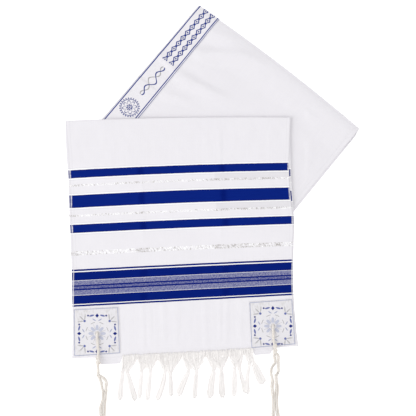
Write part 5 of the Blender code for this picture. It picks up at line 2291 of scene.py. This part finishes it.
def corner_tassels() -> tuple[CornerTassel, ...]:
    """The two corner tassels that show.

    Returns:
        The left one and the right one, each with two legs.
    """
    left = CornerTassel(
        "tassel_left", "tzitzit_left",
        cord=(EYELETS["left"], (-0.2348, -0.1874), (-0.2336, -0.205), (-0.2323, -0.22)),
        hem_knot=(-0.2327, -0.2395),
        mid_knot=(-0.2323, -0.2693),
        legs=(
            Leg(
                ((-0.2295, -0.2776), (-0.227, -0.2848), (-0.2252, -0.2946)),
                (-0.227, -0.2848),
                ((-0.2252, -0.2946), (-0.2232, -0.304), (-0.2237, -0.3209), (-0.2268, -0.333),
                 (-0.227, -0.3529), (-0.2262, -0.4), (-0.229, -0.44), (-0.23, -0.484)),
            ),
            Leg(
                ((-0.225, -0.2725), (-0.22, -0.2765), (-0.2162, -0.283), (-0.2164, -0.2934)),
                (-0.2162, -0.288),
                ((-0.2164, -0.2934), (-0.2172, -0.3029), (-0.219, -0.314), (-0.2204, -0.33),
                 (-0.2208, -0.3529), (-0.22, -0.4), (-0.218, -0.44), (-0.2165, -0.484)),
            ),
        ),
    )
    right = CornerTassel(
        "tassel_right", "tzitzit_right",
        cord=(EYELETS["right"], (0.1229, -0.1722), (0.1234, -0.185), (0.1242, -0.199)),
        hem_knot=(0.1272, -0.214),
        mid_knot=(0.1275, -0.2235),
        legs=(
            Leg(
                ((0.1257, -0.2283), (0.1269, -0.2372), (0.1273, -0.2442), (0.1229, -0.25),
                 (0.12, -0.2556), (0.1189, -0.265), (0.1208, -0.273)),
                (0.1191, -0.2628),
                ((0.1208, -0.273), (0.1224, -0.2817), (0.1218, -0.2934), (0.123, -0.3036),
                 (0.1242, -0.3174), (0.124, -0.3315), (0.1228, -0.352), (0.1215, -0.4),
                 (0.123, -0.44), (0.122, -0.484)),
            ),
            Leg(
                ((0.1335, -0.2283), (0.134, -0.2397), (0.1341, -0.2526), (0.1342, -0.2613),
                 (0.13, -0.2703), (0.1304, -0.279)),
                (0.13, -0.2703),
                ((0.1304, -0.279), (0.1308, -0.284), (0.1318, -0.2919), (0.1318, -0.3036),
                 (0.1306, -0.3162), (0.131, -0.3315), (0.133, -0.352), (0.1345, -0.4),
                 (0.133, -0.44), (0.135, -0.484)),
            ),
        ),
    )
    return left, right


class Lamp(NamedTuple):
    """A soft rectangular light: where it stands, its side and its power."""

    name: str
    place: Size
    size: float
    watts: float


@dataclass(frozen=True)
class Studio:
    """The camera straight above, soft lights, and a bright table."""

    middle: Point = (-0.0092, 0.0714)
    height: float = 2.0
    view: float = 0.8486
    sensor: float = 36.0
    world: float = 0.67
    lamps: tuple[Lamp, ...] = (
        Lamp("key", (-3.6, -1.35, 2.2), 3.2, 85.5),
        Lamp("overhead", (0.7, 0.5, 4.2), 3.2, 66.0),
    )

    def build(self) -> None:
        """Makes everything that isn't the shawl."""
        self._camera()
        self._lights()
        self._table()

    def _camera(self) -> None:
        """A camera that looks straight down, whose view is a given width on the table."""
        camera = bpy.data.cameras.new("camera")
        camera.sensor_width = self.sensor
        camera.lens = self.sensor * self.height / self.view
        stand = bpy.data.objects.new("camera", camera)
        stand.location = (*self.middle, self.height)
        bpy.context.scene.collection.objects.link(stand)
        bpy.context.scene.camera = stand

    def _lights(self) -> None:
        """Lamps that face the shawl's middle, and an even white surround."""
        for lamp in self.lamps:
            light = bpy.data.lights.new(lamp.name, "AREA")
            light.size = lamp.size
            light.energy = lamp.watts
            stand = bpy.data.objects.new(lamp.name, light)
            stand.location = lamp.place
            aim = np.array((*self.middle, 0.0)) - lamp.place
            flat = math.hypot(aim[0], aim[1])
            stand.rotation_euler = (math.atan2(flat, -aim[2]), 0.0, math.atan2(aim[1], aim[0]) - math.pi / 2)
            bpy.context.scene.collection.objects.link(stand)
        world = bpy.data.worlds.new("surround")
        world.use_nodes = True
        world.node_tree.nodes["Background"].inputs["Color"].default_value = (1.0, 1.0, 1.0, 1.0)
        world.node_tree.nodes["Background"].inputs["Strength"].default_value = self.world
        bpy.context.scene.world = world
        bpy.context.scene.view_settings.view_transform = "Standard"

    def _table(self) -> None:
        """A wide table top, just under the shawl."""
        reach = 4.0
        corners = np.array(((-1, -1), (1, -1), (1, 1), (-1, 1)), float) * reach
        points = np.column_stack([corners, np.full(4, -0.0003)])
        table = bpy.data.objects.new("table", mesh_of("table", points, np.array([[0, 1, 2, 3]])))
        table.data.materials.append(TableFinish().build())
        bpy.context.scene.collection.objects.link(table)


def main() -> None:
    """Builds the shawl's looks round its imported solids, and the studio about it."""
    logging.basicConfig(level=logging.INFO, format="%(name)s: %(message)s")
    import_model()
    Studio().build()
    shop = Workshop()
    stack = Stack()
    front = FrontStretch(stack)
    BackStretch(stack).build(shop)
    HiddenLayers(stack, front).build(shop)
    front.build(shop)
    for patch in corner_patches():
        patch.build(shop)
    Fringe(Layer.UNDER, front, UNDER_TASSELS).build(shop, "fringe_lower", "fringe_under", 71)
    Fringe(Layer.FRONT, front, FRONT_TASSELS).build(shop, "fringe_upper", "fringe_front", 72)
    for seed, tassel in enumerate(corner_tassels(), 81):
        tassel.build(shop, seed)


if __name__ == "__main__":
    main()
